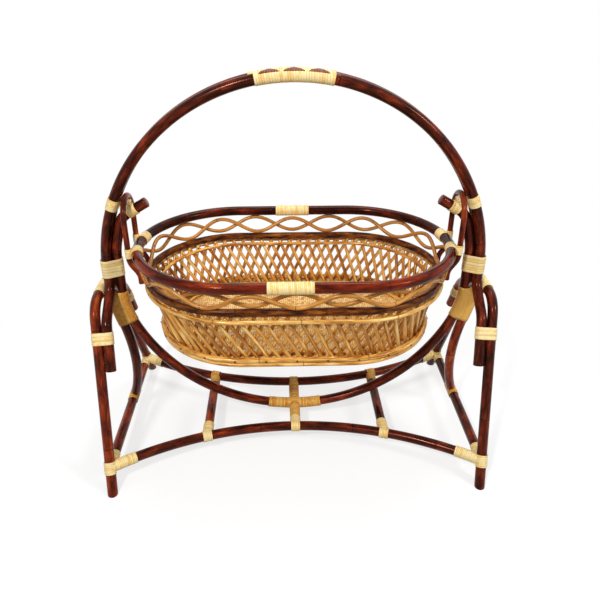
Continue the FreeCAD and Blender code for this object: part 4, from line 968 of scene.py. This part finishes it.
def pole(node, route, reference, radius=POLE_RADIUS, finish=scorched_varnished_rattan, **settings):
    """One cane of the stand or the basket as a finished piece, cut level at the floor."""
    bm = begun()
    gap = bpy.context.scene.cradle_sizes.joint_gap
    add_cane(bm, route, radius, reference, node, gap, **settings)
    if min(vert.co.z for vert in bm.verts) < 0:
        bmesh.ops.bisect_plane(bm, geom=bm.verts[:] + bm.edges[:] + bm.faces[:], plane_co=(0, 0, 0),
                               plane_no=Z_AXIS, clear_inner=True)
        capped(bm)
    return finished(bm, node, finish)


class CRADLE_OT_stand_canes(Operator):
    """End arches, hoop canes, lower bow, floor frame and braces"""
    bl_idname = "cradle.stand_canes"
    bl_label = "Stand canes"

    def execute(self, context):
        for name, side in SIDES:
            pole(f"{name}_end_arch", arch_route(side), X_AXIS)
            pole(f"{name}_side_stretcher",
                 straight(leg_point(side, -1, FRAME_HEIGHT), leg_point(side, 1, FRAME_HEIGHT)), Z_AXIS)
            pole(f"{name}_rung", straight(stretcher_point(-1, side * RUNG_X),
                                          stretcher_point(1, side * RUNG_X)), Z_AXIS)
            pole(f"{name}_brace", brace_route(side), Y_AXIS)
        for name, end in ENDS:
            pole(f"{name}_hoop", hoop_route(end), Y_AXIS)
            pole(f"{name}_stretcher", stretcher_route(end, -CORNER.x, CORNER.x), Z_AXIS)
            pole(f"{name}_centre_rung", straight(Vector((0, 0, FRAME_HEIGHT)),
                                                 stretcher_point(end, 0)), Z_AXIS)
        pole("lower_bow", bow_route(), Y_AXIS)
        return {"FINISHED"}


class CRADLE_OT_basket_rings(Operator):
    """Rim, second ring, natural rings and the ring round the floor"""
    bl_idname = "cradle.basket_rings"
    bl_label = "Basket rings"

    def execute(self, context):
        rim = self.ring("top_rim", 0.25, mahogany_gloss_rattan)
        # the rear and ends of the rim are painted darker than the front, as painted shade; the change lies
        # under the front hanger lashings
        rim.data.materials.append(finish_of(rim_rear_painted_shade_rattan))
        for face in rim.data.polygons:
            face.material_index = 1 if face.center.y > -HALF_SPREAD else 0
        self.ring("second_ring", 0.0, scorched_amber_rattan)
        for node, start in (("outer_upper_ring", 0.25), ("inner_upper_ring", 0.75),
                            ("inner_bottom_ring", 0.75), ("outer_bottom_ring", 0.25), ("base_ring", 0.25)):
            self.ring(node, start, varnished_natural_rattan)
        return {"FINISHED"}

    def ring(self, node, start, finish):
        """One ring, begun where a winding or the wall hides its scarf."""
        half_straight, radius, height, cane = ring_of(node)
        return pole(node, ring_route(half_straight, radius, height, start), Z_AXIS, cane, finish)


class CRADLE_OT_hangers(Operator):
    """Looped canes that carry the basket"""
    bl_idname = "cradle.hangers"
    bl_label = "Hangers"

    def execute(self, context):
        for name, side in SIDES:
            pole(f"{name}_hanger", hanger_route(side), X_AXIS, HANGER_RADIUS)
        return {"FINISHED"}


class CRADLE_OT_scallops(Operator):
    """Two waved canes between the rim and the second ring"""
    bl_idname = "cradle.scallops"
    bl_label = "Scallops"

    def execute(self, context):
        for node, layer in (("outer_scallop", 1), ("inner_scallop", -1)):
            pole(node, scallop_route(layer), Z_AXIS, SCALLOP_RADIUS, varnished_scallop_rattan,
                 sides=12, spacing=5 * MM)
        return {"FINISHED"}


class CRADLE_OT_spokes(Operator):
    """Two layers of slanting wall canes"""
    bl_idname = "cradle.spokes"
    bl_label = "Spokes"

    def execute(self, context):
        middle = (UPPER_HEIGHT + LOWER_HEIGHT) / 2
        girth = 4 * wall_straight(middle) + 2 * math.pi * wall_radius(middle)
        lean = SPOKE_LEAN / girth
        for node, layer in (("outer_spokes", 1), ("inner_spokes", -1)):
            bm = begun()
            for number in range(SPOKE_COUNT):
                share = (number + 0.25) / SPOKE_COUNT
                bottom, top = [ring_point(wall_straight(height), wall_radius(height) + layer * LAYER_OFFSET,
                                          share + layer * slant, height)
                               for height, slant in ((SPOKE_BOTTOM, lean / 2), (SPOKE_TOP, -lean / 2))]
                add_cane(bm, straight(bottom, top), SPOKE_RADIUS, X_AXIS, f"{node}_{number}",
                         SPOKE_JOINT_GAP, sides=10, spacing=SPOKE_SPACING)
            finished(bm, node, varnished_natural_rattan)
        return {"FINISHED"}


def across_hoop(along):
    """Centres of the two hoop canes, from the line between them."""
    return [Y_AXIS * -HOOP_HALF_GAP, Y_AXIS * HOOP_HALF_GAP]


def along_crown(angle, length):
    """Span of a winding on the crown of the hoop, centred at an angle from its top."""
    middle = HOOP_RADIUS * (math.pi / 2 + angle)
    return middle - length / 2, middle + length / 2


class CRADLE_OT_grip(Operator):
    """Grip wound round both hoop canes, with dark diamonds woven along its top"""
    bl_idname = "cradle.grip"
    bl_label = "Grip"

    def execute(self, context):
        bm = begun()
        add_winding(bm, CROWN, Y_AXIS, "grip", centres=across_hoop, span=along_crown(0, GRIP_LENGTH),
                    peel=context.scene.cradle_sizes.grip_peel_width)
        self.diamonds(bm)
        # on the left the winding runs on round the rear cane alone
        half = GRIP_LENGTH / 2
        middle = HOOP_MIDDLE + Y_AXIS * HOOP_HALF_GAP
        first, last = [middle + Quaternion(Y_AXIS, -reach / HOOP_RADIUS) @ (Z_AXIS * HOOP_RADIUS)
                       for reach in (half + GRIP_STEP, half - MM)]
        step = Route(swing(middle, first, Y_AXIS, (GRIP_STEP + MM) / HOOP_RADIUS) + [last])
        add_winding(bm, step, Y_AXIS, "grip_step")
        finished(bm, "grip_wrap", wound_cane_peel, dark_woven_peel)
        return {"FINISHED"}

    def diamonds(self, bm):
        """Three half diamonds, stepped turn by turn from the middle of the top over its front."""
        place_layer = bm.verts.layers.float_vector["cane_place"]
        for face in bm.faces:
            along = sum(vert[place_layer].x for vert in face.verts) / len(face.verts)
            outer = face.calc_center_median()
            rise = (outer - HOOP_MIDDLE).length - HOOP_RADIUS
            over = -HOOP_HALF_GAP - outer.y
            down = HOOP_HALF_GAP + POLE_RADIUS * math.atan2(over, rise) if over > 0 else -outer.y
            share = (down - DIAMOND_POINT) / (DIAMOND_EDGE - DIAMOND_POINT)
            nearest = min(abs(along - number * DIAMOND_SPACING) for number in (-1, 0, 1))
            if rise > 0 and down < DIAMOND_EDGE and nearest < DIAMOND_HALF * share:
                face.material_index = 1


class CRADLE_OT_stand_lashings(Operator):
    """Windings that tie the canes of the stand"""
    bl_idname = "cradle.stand_lashings"
    bl_label = "Stand lashings"

    def execute(self, context):
        for name, side in SIDES:
            self.hook(name, side)
            self.mid(name, side)
            self.arch(name, side)
            self.brace_foot(name, side)
            self.brace(name, side)
            for end_name, end in ENDS:
                place = f"{end_name}_{name}"
                seed = name + end_name
                self.leg(place, seed, side, end)
                self.corner(place, seed, side, end)
                self.rung(place, seed, side, end)
        self.centre()
        for end_name, end in ENDS:
            self.centre_end(end_name, end)
        return {"FINISHED"}

    def hook(self, name, side):
        """Winding on the hoop, wound neck and sleeve on the hook."""
        bm = begun()
        add_winding(bm, CROWN, Y_AXIS, "band" + name, centres=across_hoop,
                    span=along_crown(side * PIVOT_ANGLE, HOOK_BAND))
        tip = SLEEVE_FOOT + PEG_HEADING * SLEEVE_LENGTH
        hoop_x = HOOP_RADIUS * math.sin(PIVOT_ANGLE)
        neck = straight(Vector((side * hoop_x, 0, PIVOT_HEIGHT)),
                        Vector((side * (SLEEVE_FOOT.x + tip.x) / 2, 0, PIVOT_HEIGHT)))
        add_winding(bm, neck, Y_AXIS, "neck" + name, NECK_RADIUS, NECK_CORE)
        sleeve = straight(Vector((side * SLEEVE_FOOT.x, 0, SLEEVE_FOOT.z)),
                          Vector((side * tip.x, 0, tip.z)))
        add_winding(bm, sleeve, Y_AXIS, "sleeve" + name)
        finished(bm, f"{name}_hook_lashing", wound_cane_peel)

    def mid(self, name, side):
        """Winding round the two hoop canes and the bow behind them."""
        bm = begun()
        foot = Vector((side * HOOP_RADIUS, 0, MID_FOOT))
        upright = straight(foot, foot + Z_AXIS * MID_LASHING)
        inward = X_AXIS * (side * (BOW_X - HOOP_RADIUS))
        add_winding(bm, upright, X_AXIS, "mid" + name, peel=MID_PEEL,
                    centres=lambda along: across_hoop(along) + [inward])
        finished(bm, f"{name}_mid_lashing", wound_cane_peel)

    def arch(self, name, side):
        """Winding on the top of an end arch."""
        bm = begun()
        top = centred(Vector((side * ARCH_TOP_X, 0, ARCH_HEIGHT)), Y_AXIS, ARCH_LASHING)
        add_winding(bm, top, X_AXIS, name)
        finished(bm, f"{name}_arch_lashing", wound_cane_peel)

    def brace_foot(self, name, side):
        """Winding on a side stretcher where its brace stands."""
        bm = begun()
        under = centred(Vector((side * CORNER.x, BRACE_FOOT.y, FRAME_HEIGHT)), Y_AXIS, BRACE_FOOT_WRAP)
        add_winding(bm, under, X_AXIS, name + "foot")
        finished(bm, f"{name}_brace_foot_wrap", tan_peel_with_painted_shade)

    def brace(self, name, side):
        """Tapered sheath of broad strips that ties a brace to the bow."""
        tail = BRACE_ANGLE - math.radians(5)
        tip = BRACE_TOP + math.radians(7)
        start = bow_place(tail)
        points = swing(SIDE_CENTRE, start, -Y_AXIS, tip - tail) + [bow_place(tip)]
        turn = (BRACE_ANGLE - tail) * SIDE_RADIUS / FOOT_RADIUS
        below = FOOT_CENTRE + (BRACE_HEADING * math.sin(turn) - BRACE_NORMAL * math.cos(turn)) * FOOT_RADIUS
        spread = (below - start).dot(bow_direction(tail))
        stops = ((tail, spread), (BRACE_ANGLE, BESIDE_POLE),
                 (BRACE_TOP + math.radians(1), BESIDE_POLE), (tip, PEEL))

        def pair(along):
            angle = min(tip, max(tail, tail + along / SIDE_RADIUS))
            for (low, first), (high, last) in zip(stops, stops[1:]):
                if angle <= high:
                    break
            out = bow_direction(angle) * (first + (last - first) * (angle - low) / (high - low))
            return [Vector((0, 0, 0)), Vector((side * out.x, 0, out.z))]

        bm = begun()
        route = Route([Vector((side * p.x, p.y, p.z)) for p in points])
        add_strips(bm, route, Y_AXIS, "brace" + name, pair)
        finished(bm, f"{name}_brace_lashing", tan_peel_with_painted_shade)

    def leg(self, place, seed, side, end):
        """Winding that ties the tail of a hoop cane to a leg."""
        bm = begun()
        middle = (leg_point(side, end, LEG_LASHING_HEIGHT) + tail_point(side, end, LEG_LASHING_HEIGHT)) / 2
        add_winding(bm, centred(middle, leg_heading(side, end), LEG_LASHING), X_AXIS, seed, peel=LEG_PEEL,
                    centres=lambda along: [X_AXIS * HOOP_HALF_GAP, X_AXIS * -HOOP_HALF_GAP])
        finished(bm, f"{place}_leg_lashing", wound_cane_peel)

    def corner(self, place, seed, side, end):
        """Windings on a leg and on the two stretchers that meet it."""
        bm = begun()
        corner = leg_point(side, end, FRAME_HEIGHT)
        upright = centred(corner, leg_heading(side, end), CORNER_UPRIGHT)
        add_winding(bm, upright, X_AXIS, "c" + seed, THICK_WRAP)
        long = stretcher_route(end, side * CORNER.x, side * (CORNER.x - CORNER_LONG))
        add_winding(bm, long, Z_AXIS, "l" + seed)
        short = straight(corner, corner - Y_AXIS * (end * CORNER_SHORT))
        add_winding(bm, short, Z_AXIS, "s" + seed, THIN_WRAP)
        finished(bm, f"{place}_corner_lashing", wound_cane_peel)

    def rung(self, place, seed, side, end):
        """Sleeve on a rung and band on the stretcher that it meets."""
        bm = begun()
        x = side * RUNG_X
        meeting = stretcher_point(end, x)
        sleeve = straight(meeting, meeting - Y_AXIS * (end * RUNG_SLEEVE))
        add_winding(bm, sleeve, Z_AXIS, "r" + seed)
        band = stretcher_route(end, x - RUNG_BAND / 2, x + RUNG_BAND / 2)
        add_winding(bm, band, Z_AXIS, "b" + seed, THICK_WRAP)
        # the rear lashing takes the darker tan peel, partly painted shade
        finished(bm, f"{place}_rung_lashing", wound_cane_peel if end < 0 else tan_peel_with_painted_shade)

    def centre(self):
        """Winding on the bow where it crosses the centre rung, with an arm along each half of it."""
        bm = begun()
        bow = bow_route()
        add_winding(bm, bow, Y_AXIS, "centre", THICK_WRAP,
                    span=((bow.length - CENTRE_LASHING) / 2, (bow.length + CENTRE_LASHING) / 2))
        for end_name, end in ENDS:
            arm = straight(Vector((0, 0, FRAME_HEIGHT)), Vector((0, end * CENTRE_ARM, FRAME_HEIGHT)))
            add_winding(bm, arm, Z_AXIS, "arm" + end_name)
        finished(bm, "centre_lashing", tan_peel_with_painted_shade)

    def centre_end(self, end_name, end):
        """Sleeve on one half of the centre rung and band on the stretcher that it meets."""
        bm = begun()
        meeting = stretcher_point(end, 0)
        sleeve = straight(meeting, Vector((0, end * (CENTRE_ARM + GAP), FRAME_HEIGHT)))
        add_winding(bm, sleeve, Z_AXIS, "sleeve" + end_name)
        add_winding(bm, centred(meeting, X_AXIS, CENTRE_BAND), Z_AXIS, "band" + end_name, THICK_WRAP)
        # the rear lashing takes the darker tan peel, partly painted shade
        finished(bm, f"{end_name}_centre_lashing", wound_cane_peel if end < 0 else tan_peel_with_painted_shade)


class CRADLE_OT_basket_lashings(Operator):
    """Windings on the rim and at the hanger legs"""
    bl_idname = "cradle.basket_lashings"
    bl_label = "Basket lashings"

    def execute(self, context):
        for node, end, length, x in (("rim_front_wrap", -1, RIM_FRONT_WRAP, RIM_FRONT_SHIFT),
                                     ("rim_back_wrap", 1, RIM_BACK_WRAP, 0.0)):
            bm = begun()
            rim = centred(Vector((x, end * RIM_RADIUS, RIM_HEIGHT)), X_AXIS, length)
            add_winding(bm, rim, Z_AXIS, node)
            finished(bm, node, wound_cane_peel)
        for name, side in SIDES:
            bm = begun()
            for end_name, end in ENDS:
                self.hanger_leg(bm, name + end_name, side, end)
            finished(bm, f"{name}_hanger_lashings", wound_cane_peel)
        return {"FINISHED"}

    def hanger_leg(self, bm, seed, side, end):
        """Band on the rim and sleeve on the hanger leg that crosses it."""
        centre = Vector((side * HALF_STRAIGHT, 0, RIM_HEIGHT))
        crossing = Vector((side * HANGER_X, end * HALF_SPREAD, RIM_HEIGHT))
        arm = (crossing - centre).normalized() * RIM_RADIUS
        turn = HANGER_BAND / RIM_RADIUS
        first = centre + Quaternion(Z_AXIS, -turn / 2) @ arm
        last = centre + Quaternion(Z_AXIS, turn / 2) @ arm
        add_winding(bm, Route(swing(centre, first, Z_AXIS, turn) + [last]), Z_AXIS, seed)
        add_winding(bm, centred(crossing, Z_AXIS, HANGER_SLEEVE), X_AXIS, "leg" + seed,
                    HANGER_RADIUS + GAP + PEEL, HANGER_RADIUS)


class CRADLE_OT_mat_and_nails(Operator):
    """Finishes of the plaited floor and the nails"""
    bl_idname = "cradle.mat_and_nails"
    bl_label = "Mat and nails"

    def execute(self, context):
        for node, finish in (("woven_floor", plaited_split_cane), ("ring_nails", forged_iron)):
            mesh = frame["nodes"][node].data
            mesh.materials.clear()
            mesh.materials.append(finish_of(finish))
        return {"FINISHED"}


# Studio: a white paper floor, seen from where the photograph was taken

LAMPS = (("key", (-1.2, -2.6, 2.9), 0.36, 79), ("fill", (2.4, -1.6, 2.2), 0.6, 36),
         ("top", (0.2, 0.9, 3.2), 1.2, 38))
LAMP_AIM = Vector((0, 0, 0.5))
WORLD_LIGHT = 0.3
FLOOR_REACH = 30
PAPER_GREY = "#9e9e9e"
PAPER_GLOW = 0.7
FADE_START = 0.7
FADE_END = 1.3
CAMERA_PLACE = (-41.5 * MM, -1486.9 * MM, 1233 * MM)
CAMERA_YAW = math.radians(1.6)
CAMERA_PITCH = math.radians(28.44)
LENS_MM = 36
SENSOR_MM = 36
PICTURE_PIXELS = 600
SHIFT_PIXELS = 5.5


class CRADLE_OT_studio(Operator):
    """Pale floor, soft lamps and the camera"""
    bl_idname = "cradle.studio"
    bl_label = "Studio"

    def execute(self, context):
        scene = context.scene
        scene.view_settings.view_transform = "Standard"
        self.floor(scene)
        self.world(scene)
        for name, place, size, power in LAMPS:
            self.lamp(scene, name, place, size, power)
        self.camera(scene)
        return {"FINISHED"}

    def floor(self, scene):
        """White paper: takes the shadows near the object, fades to plain white further out."""
        bm = bmesh.new()
        bmesh.ops.create_grid(bm, x_segments=1, y_segments=1, size=FLOOR_REACH)
        mesh = bpy.data.meshes.new("studio_floor")
        bm.to_mesh(mesh)
        bm.free()
        floor = bpy.data.objects.new("studio_floor", mesh)
        scene.collection.objects.link(floor)
        material, tree, shader = started("white_paper")
        shader.inputs["Base Color"].default_value = linear(PAPER_GREY)
        shader.inputs["Roughness"].default_value = 0.9
        shader.inputs["Specular IOR Level"].default_value = 0.0
        seen = self.seen(tree)
        coords = add(tree, "ShaderNodeTexCoord")
        reach = add(tree, "ShaderNodeVectorMath", {0: coords.outputs["Object"]}, operation="LENGTH")
        far = add(tree, "ShaderNodeMapRange", {"Value": reach.outputs["Value"], "From Min": FADE_START,
                                               "From Max": FADE_END}, interpolation_type="SMOOTHSTEP")
        share = add(tree, "ShaderNodeMath", {0: far.outputs["Result"], 1: seen}, operation="MULTIPLY")
        glow = add(tree, "ShaderNodeMath", {0: seen, 1: PAPER_GLOW}, operation="MULTIPLY")
        lift = add(tree, "ShaderNodeEmission", {"Strength": glow.outputs["Value"]})
        paper = add(tree, "ShaderNodeAddShader", {0: shader.outputs["BSDF"], 1: lift.outputs["Emission"]})
        white = add(tree, "ShaderNodeEmission", {"Strength": 1.0})
        both = add(tree, "ShaderNodeMixShader", {0: share.outputs["Value"], 1: paper.outputs["Shader"],
                                                 2: white.outputs["Emission"]})
        tree.links.new(both.outputs["Shader"], tree.nodes["Material Output"].inputs["Surface"])
        mesh.materials.append(material)

    def seen(self, tree):
        """1 where a ray comes from the camera, a reflection or through glass."""
        rays = add(tree, "ShaderNodeLightPath")
        direct = add(tree, "ShaderNodeMath", {0: rays.outputs["Is Camera Ray"],
                                              1: rays.outputs["Is Glossy Ray"]}, operation="MAXIMUM")
        seen = add(tree, "ShaderNodeMath", {0: direct.outputs["Value"],
                                            1: rays.outputs["Is Transmission Ray"]}, operation="MAXIMUM")
        return seen.outputs["Value"]

    def world(self, scene):
        """Plain white to look at, and a soft light on the object."""
        world = bpy.data.worlds.new("studio")
        scene.world = world
        world.use_nodes = True
        tree = world.node_tree
        backdrop = tree.nodes["Background"]
        strength = add(tree, "ShaderNodeMapRange", {"Value": self.seen(tree),
                                                    "To Min": WORLD_LIGHT, "To Max": 1.0})
        backdrop.inputs["Color"].default_value = linear("#ffffff")
        tree.links.new(strength.outputs["Result"], backdrop.inputs["Strength"])

    def lamp(self, scene, name, place, size, power):
        """One square lamp turned to the middle of the cradle."""
        light = bpy.data.lights.new(name, "AREA")
        light.size = size
        light.energy = power
        lamp = bpy.data.objects.new(name, light)
        lamp.location = place
        aim = LAMP_AIM - Vector(place)
        lamp.rotation_euler = aim.to_track_quat("-Z", "Y").to_euler()
        scene.collection.objects.link(lamp)

    def camera(self, scene):
        """Camera above the front, turned a little to the right."""
        data = bpy.data.cameras.new("camera")
        data.lens = LENS_MM
        data.sensor_width = SENSOR_MM
        data.shift_x = SHIFT_PIXELS / PICTURE_PIXELS
        camera = bpy.data.objects.new("camera", data)
        camera.location = CAMERA_PLACE
        level = math.cos(CAMERA_PITCH)
        aim = Vector((math.sin(CAMERA_YAW) * level, math.cos(CAMERA_YAW) * level, -math.sin(CAMERA_PITCH)))
        camera.rotation_euler = aim.to_track_quat("-Z", "Y").to_euler()
        scene.collection.objects.link(camera)
        scene.camera = camera


STEPS = (CRADLE_OT_stand_canes, CRADLE_OT_basket_rings, CRADLE_OT_hangers, CRADLE_OT_scallops,
         CRADLE_OT_spokes, CRADLE_OT_grip, CRADLE_OT_stand_lashings, CRADLE_OT_basket_lashings,
         CRADLE_OT_mat_and_nails, CRADLE_OT_studio)


class CRADLE_PT_panel(Panel):
    """Lists the pieces of the cradle"""
    bl_label = "Rattan cradle"
    bl_idname = "CRADLE_PT_panel"
    bl_space_type = "VIEW_3D"
    bl_region_type = "UI"
    bl_category = "Cradle"

    def draw(self, context):
        for step in STEPS:
            self.layout.operator(step.bl_idname)


CLASSES = (CradleColours, CradleSizes) + STEPS + (CRADLE_PT_panel,)


def register():
    for kind in CLASSES:
        bpy.utils.register_class(kind)
    bpy.types.Scene.cradle_colours = PointerProperty(type=CradleColours)
    bpy.types.Scene.cradle_sizes = PointerProperty(type=CradleSizes)


def unregister():
    del bpy.types.Scene.cradle_sizes
    del bpy.types.Scene.cradle_colours
    for kind in reversed(CLASSES):
        bpy.utils.unregister_class(kind)


def main():
    register()
    bpy.ops.cradle.stand_canes()
    bpy.ops.cradle.basket_rings()
    bpy.ops.cradle.hangers()
    bpy.ops.cradle.scallops()
    bpy.ops.cradle.spokes()
    bpy.ops.cradle.grip()
    bpy.ops.cradle.stand_lashings()
    bpy.ops.cradle.basket_lashings()
    bpy.ops.cradle.mat_and_nails()
    bpy.ops.cradle.studio()


if __name__ == "__main__":
    main()
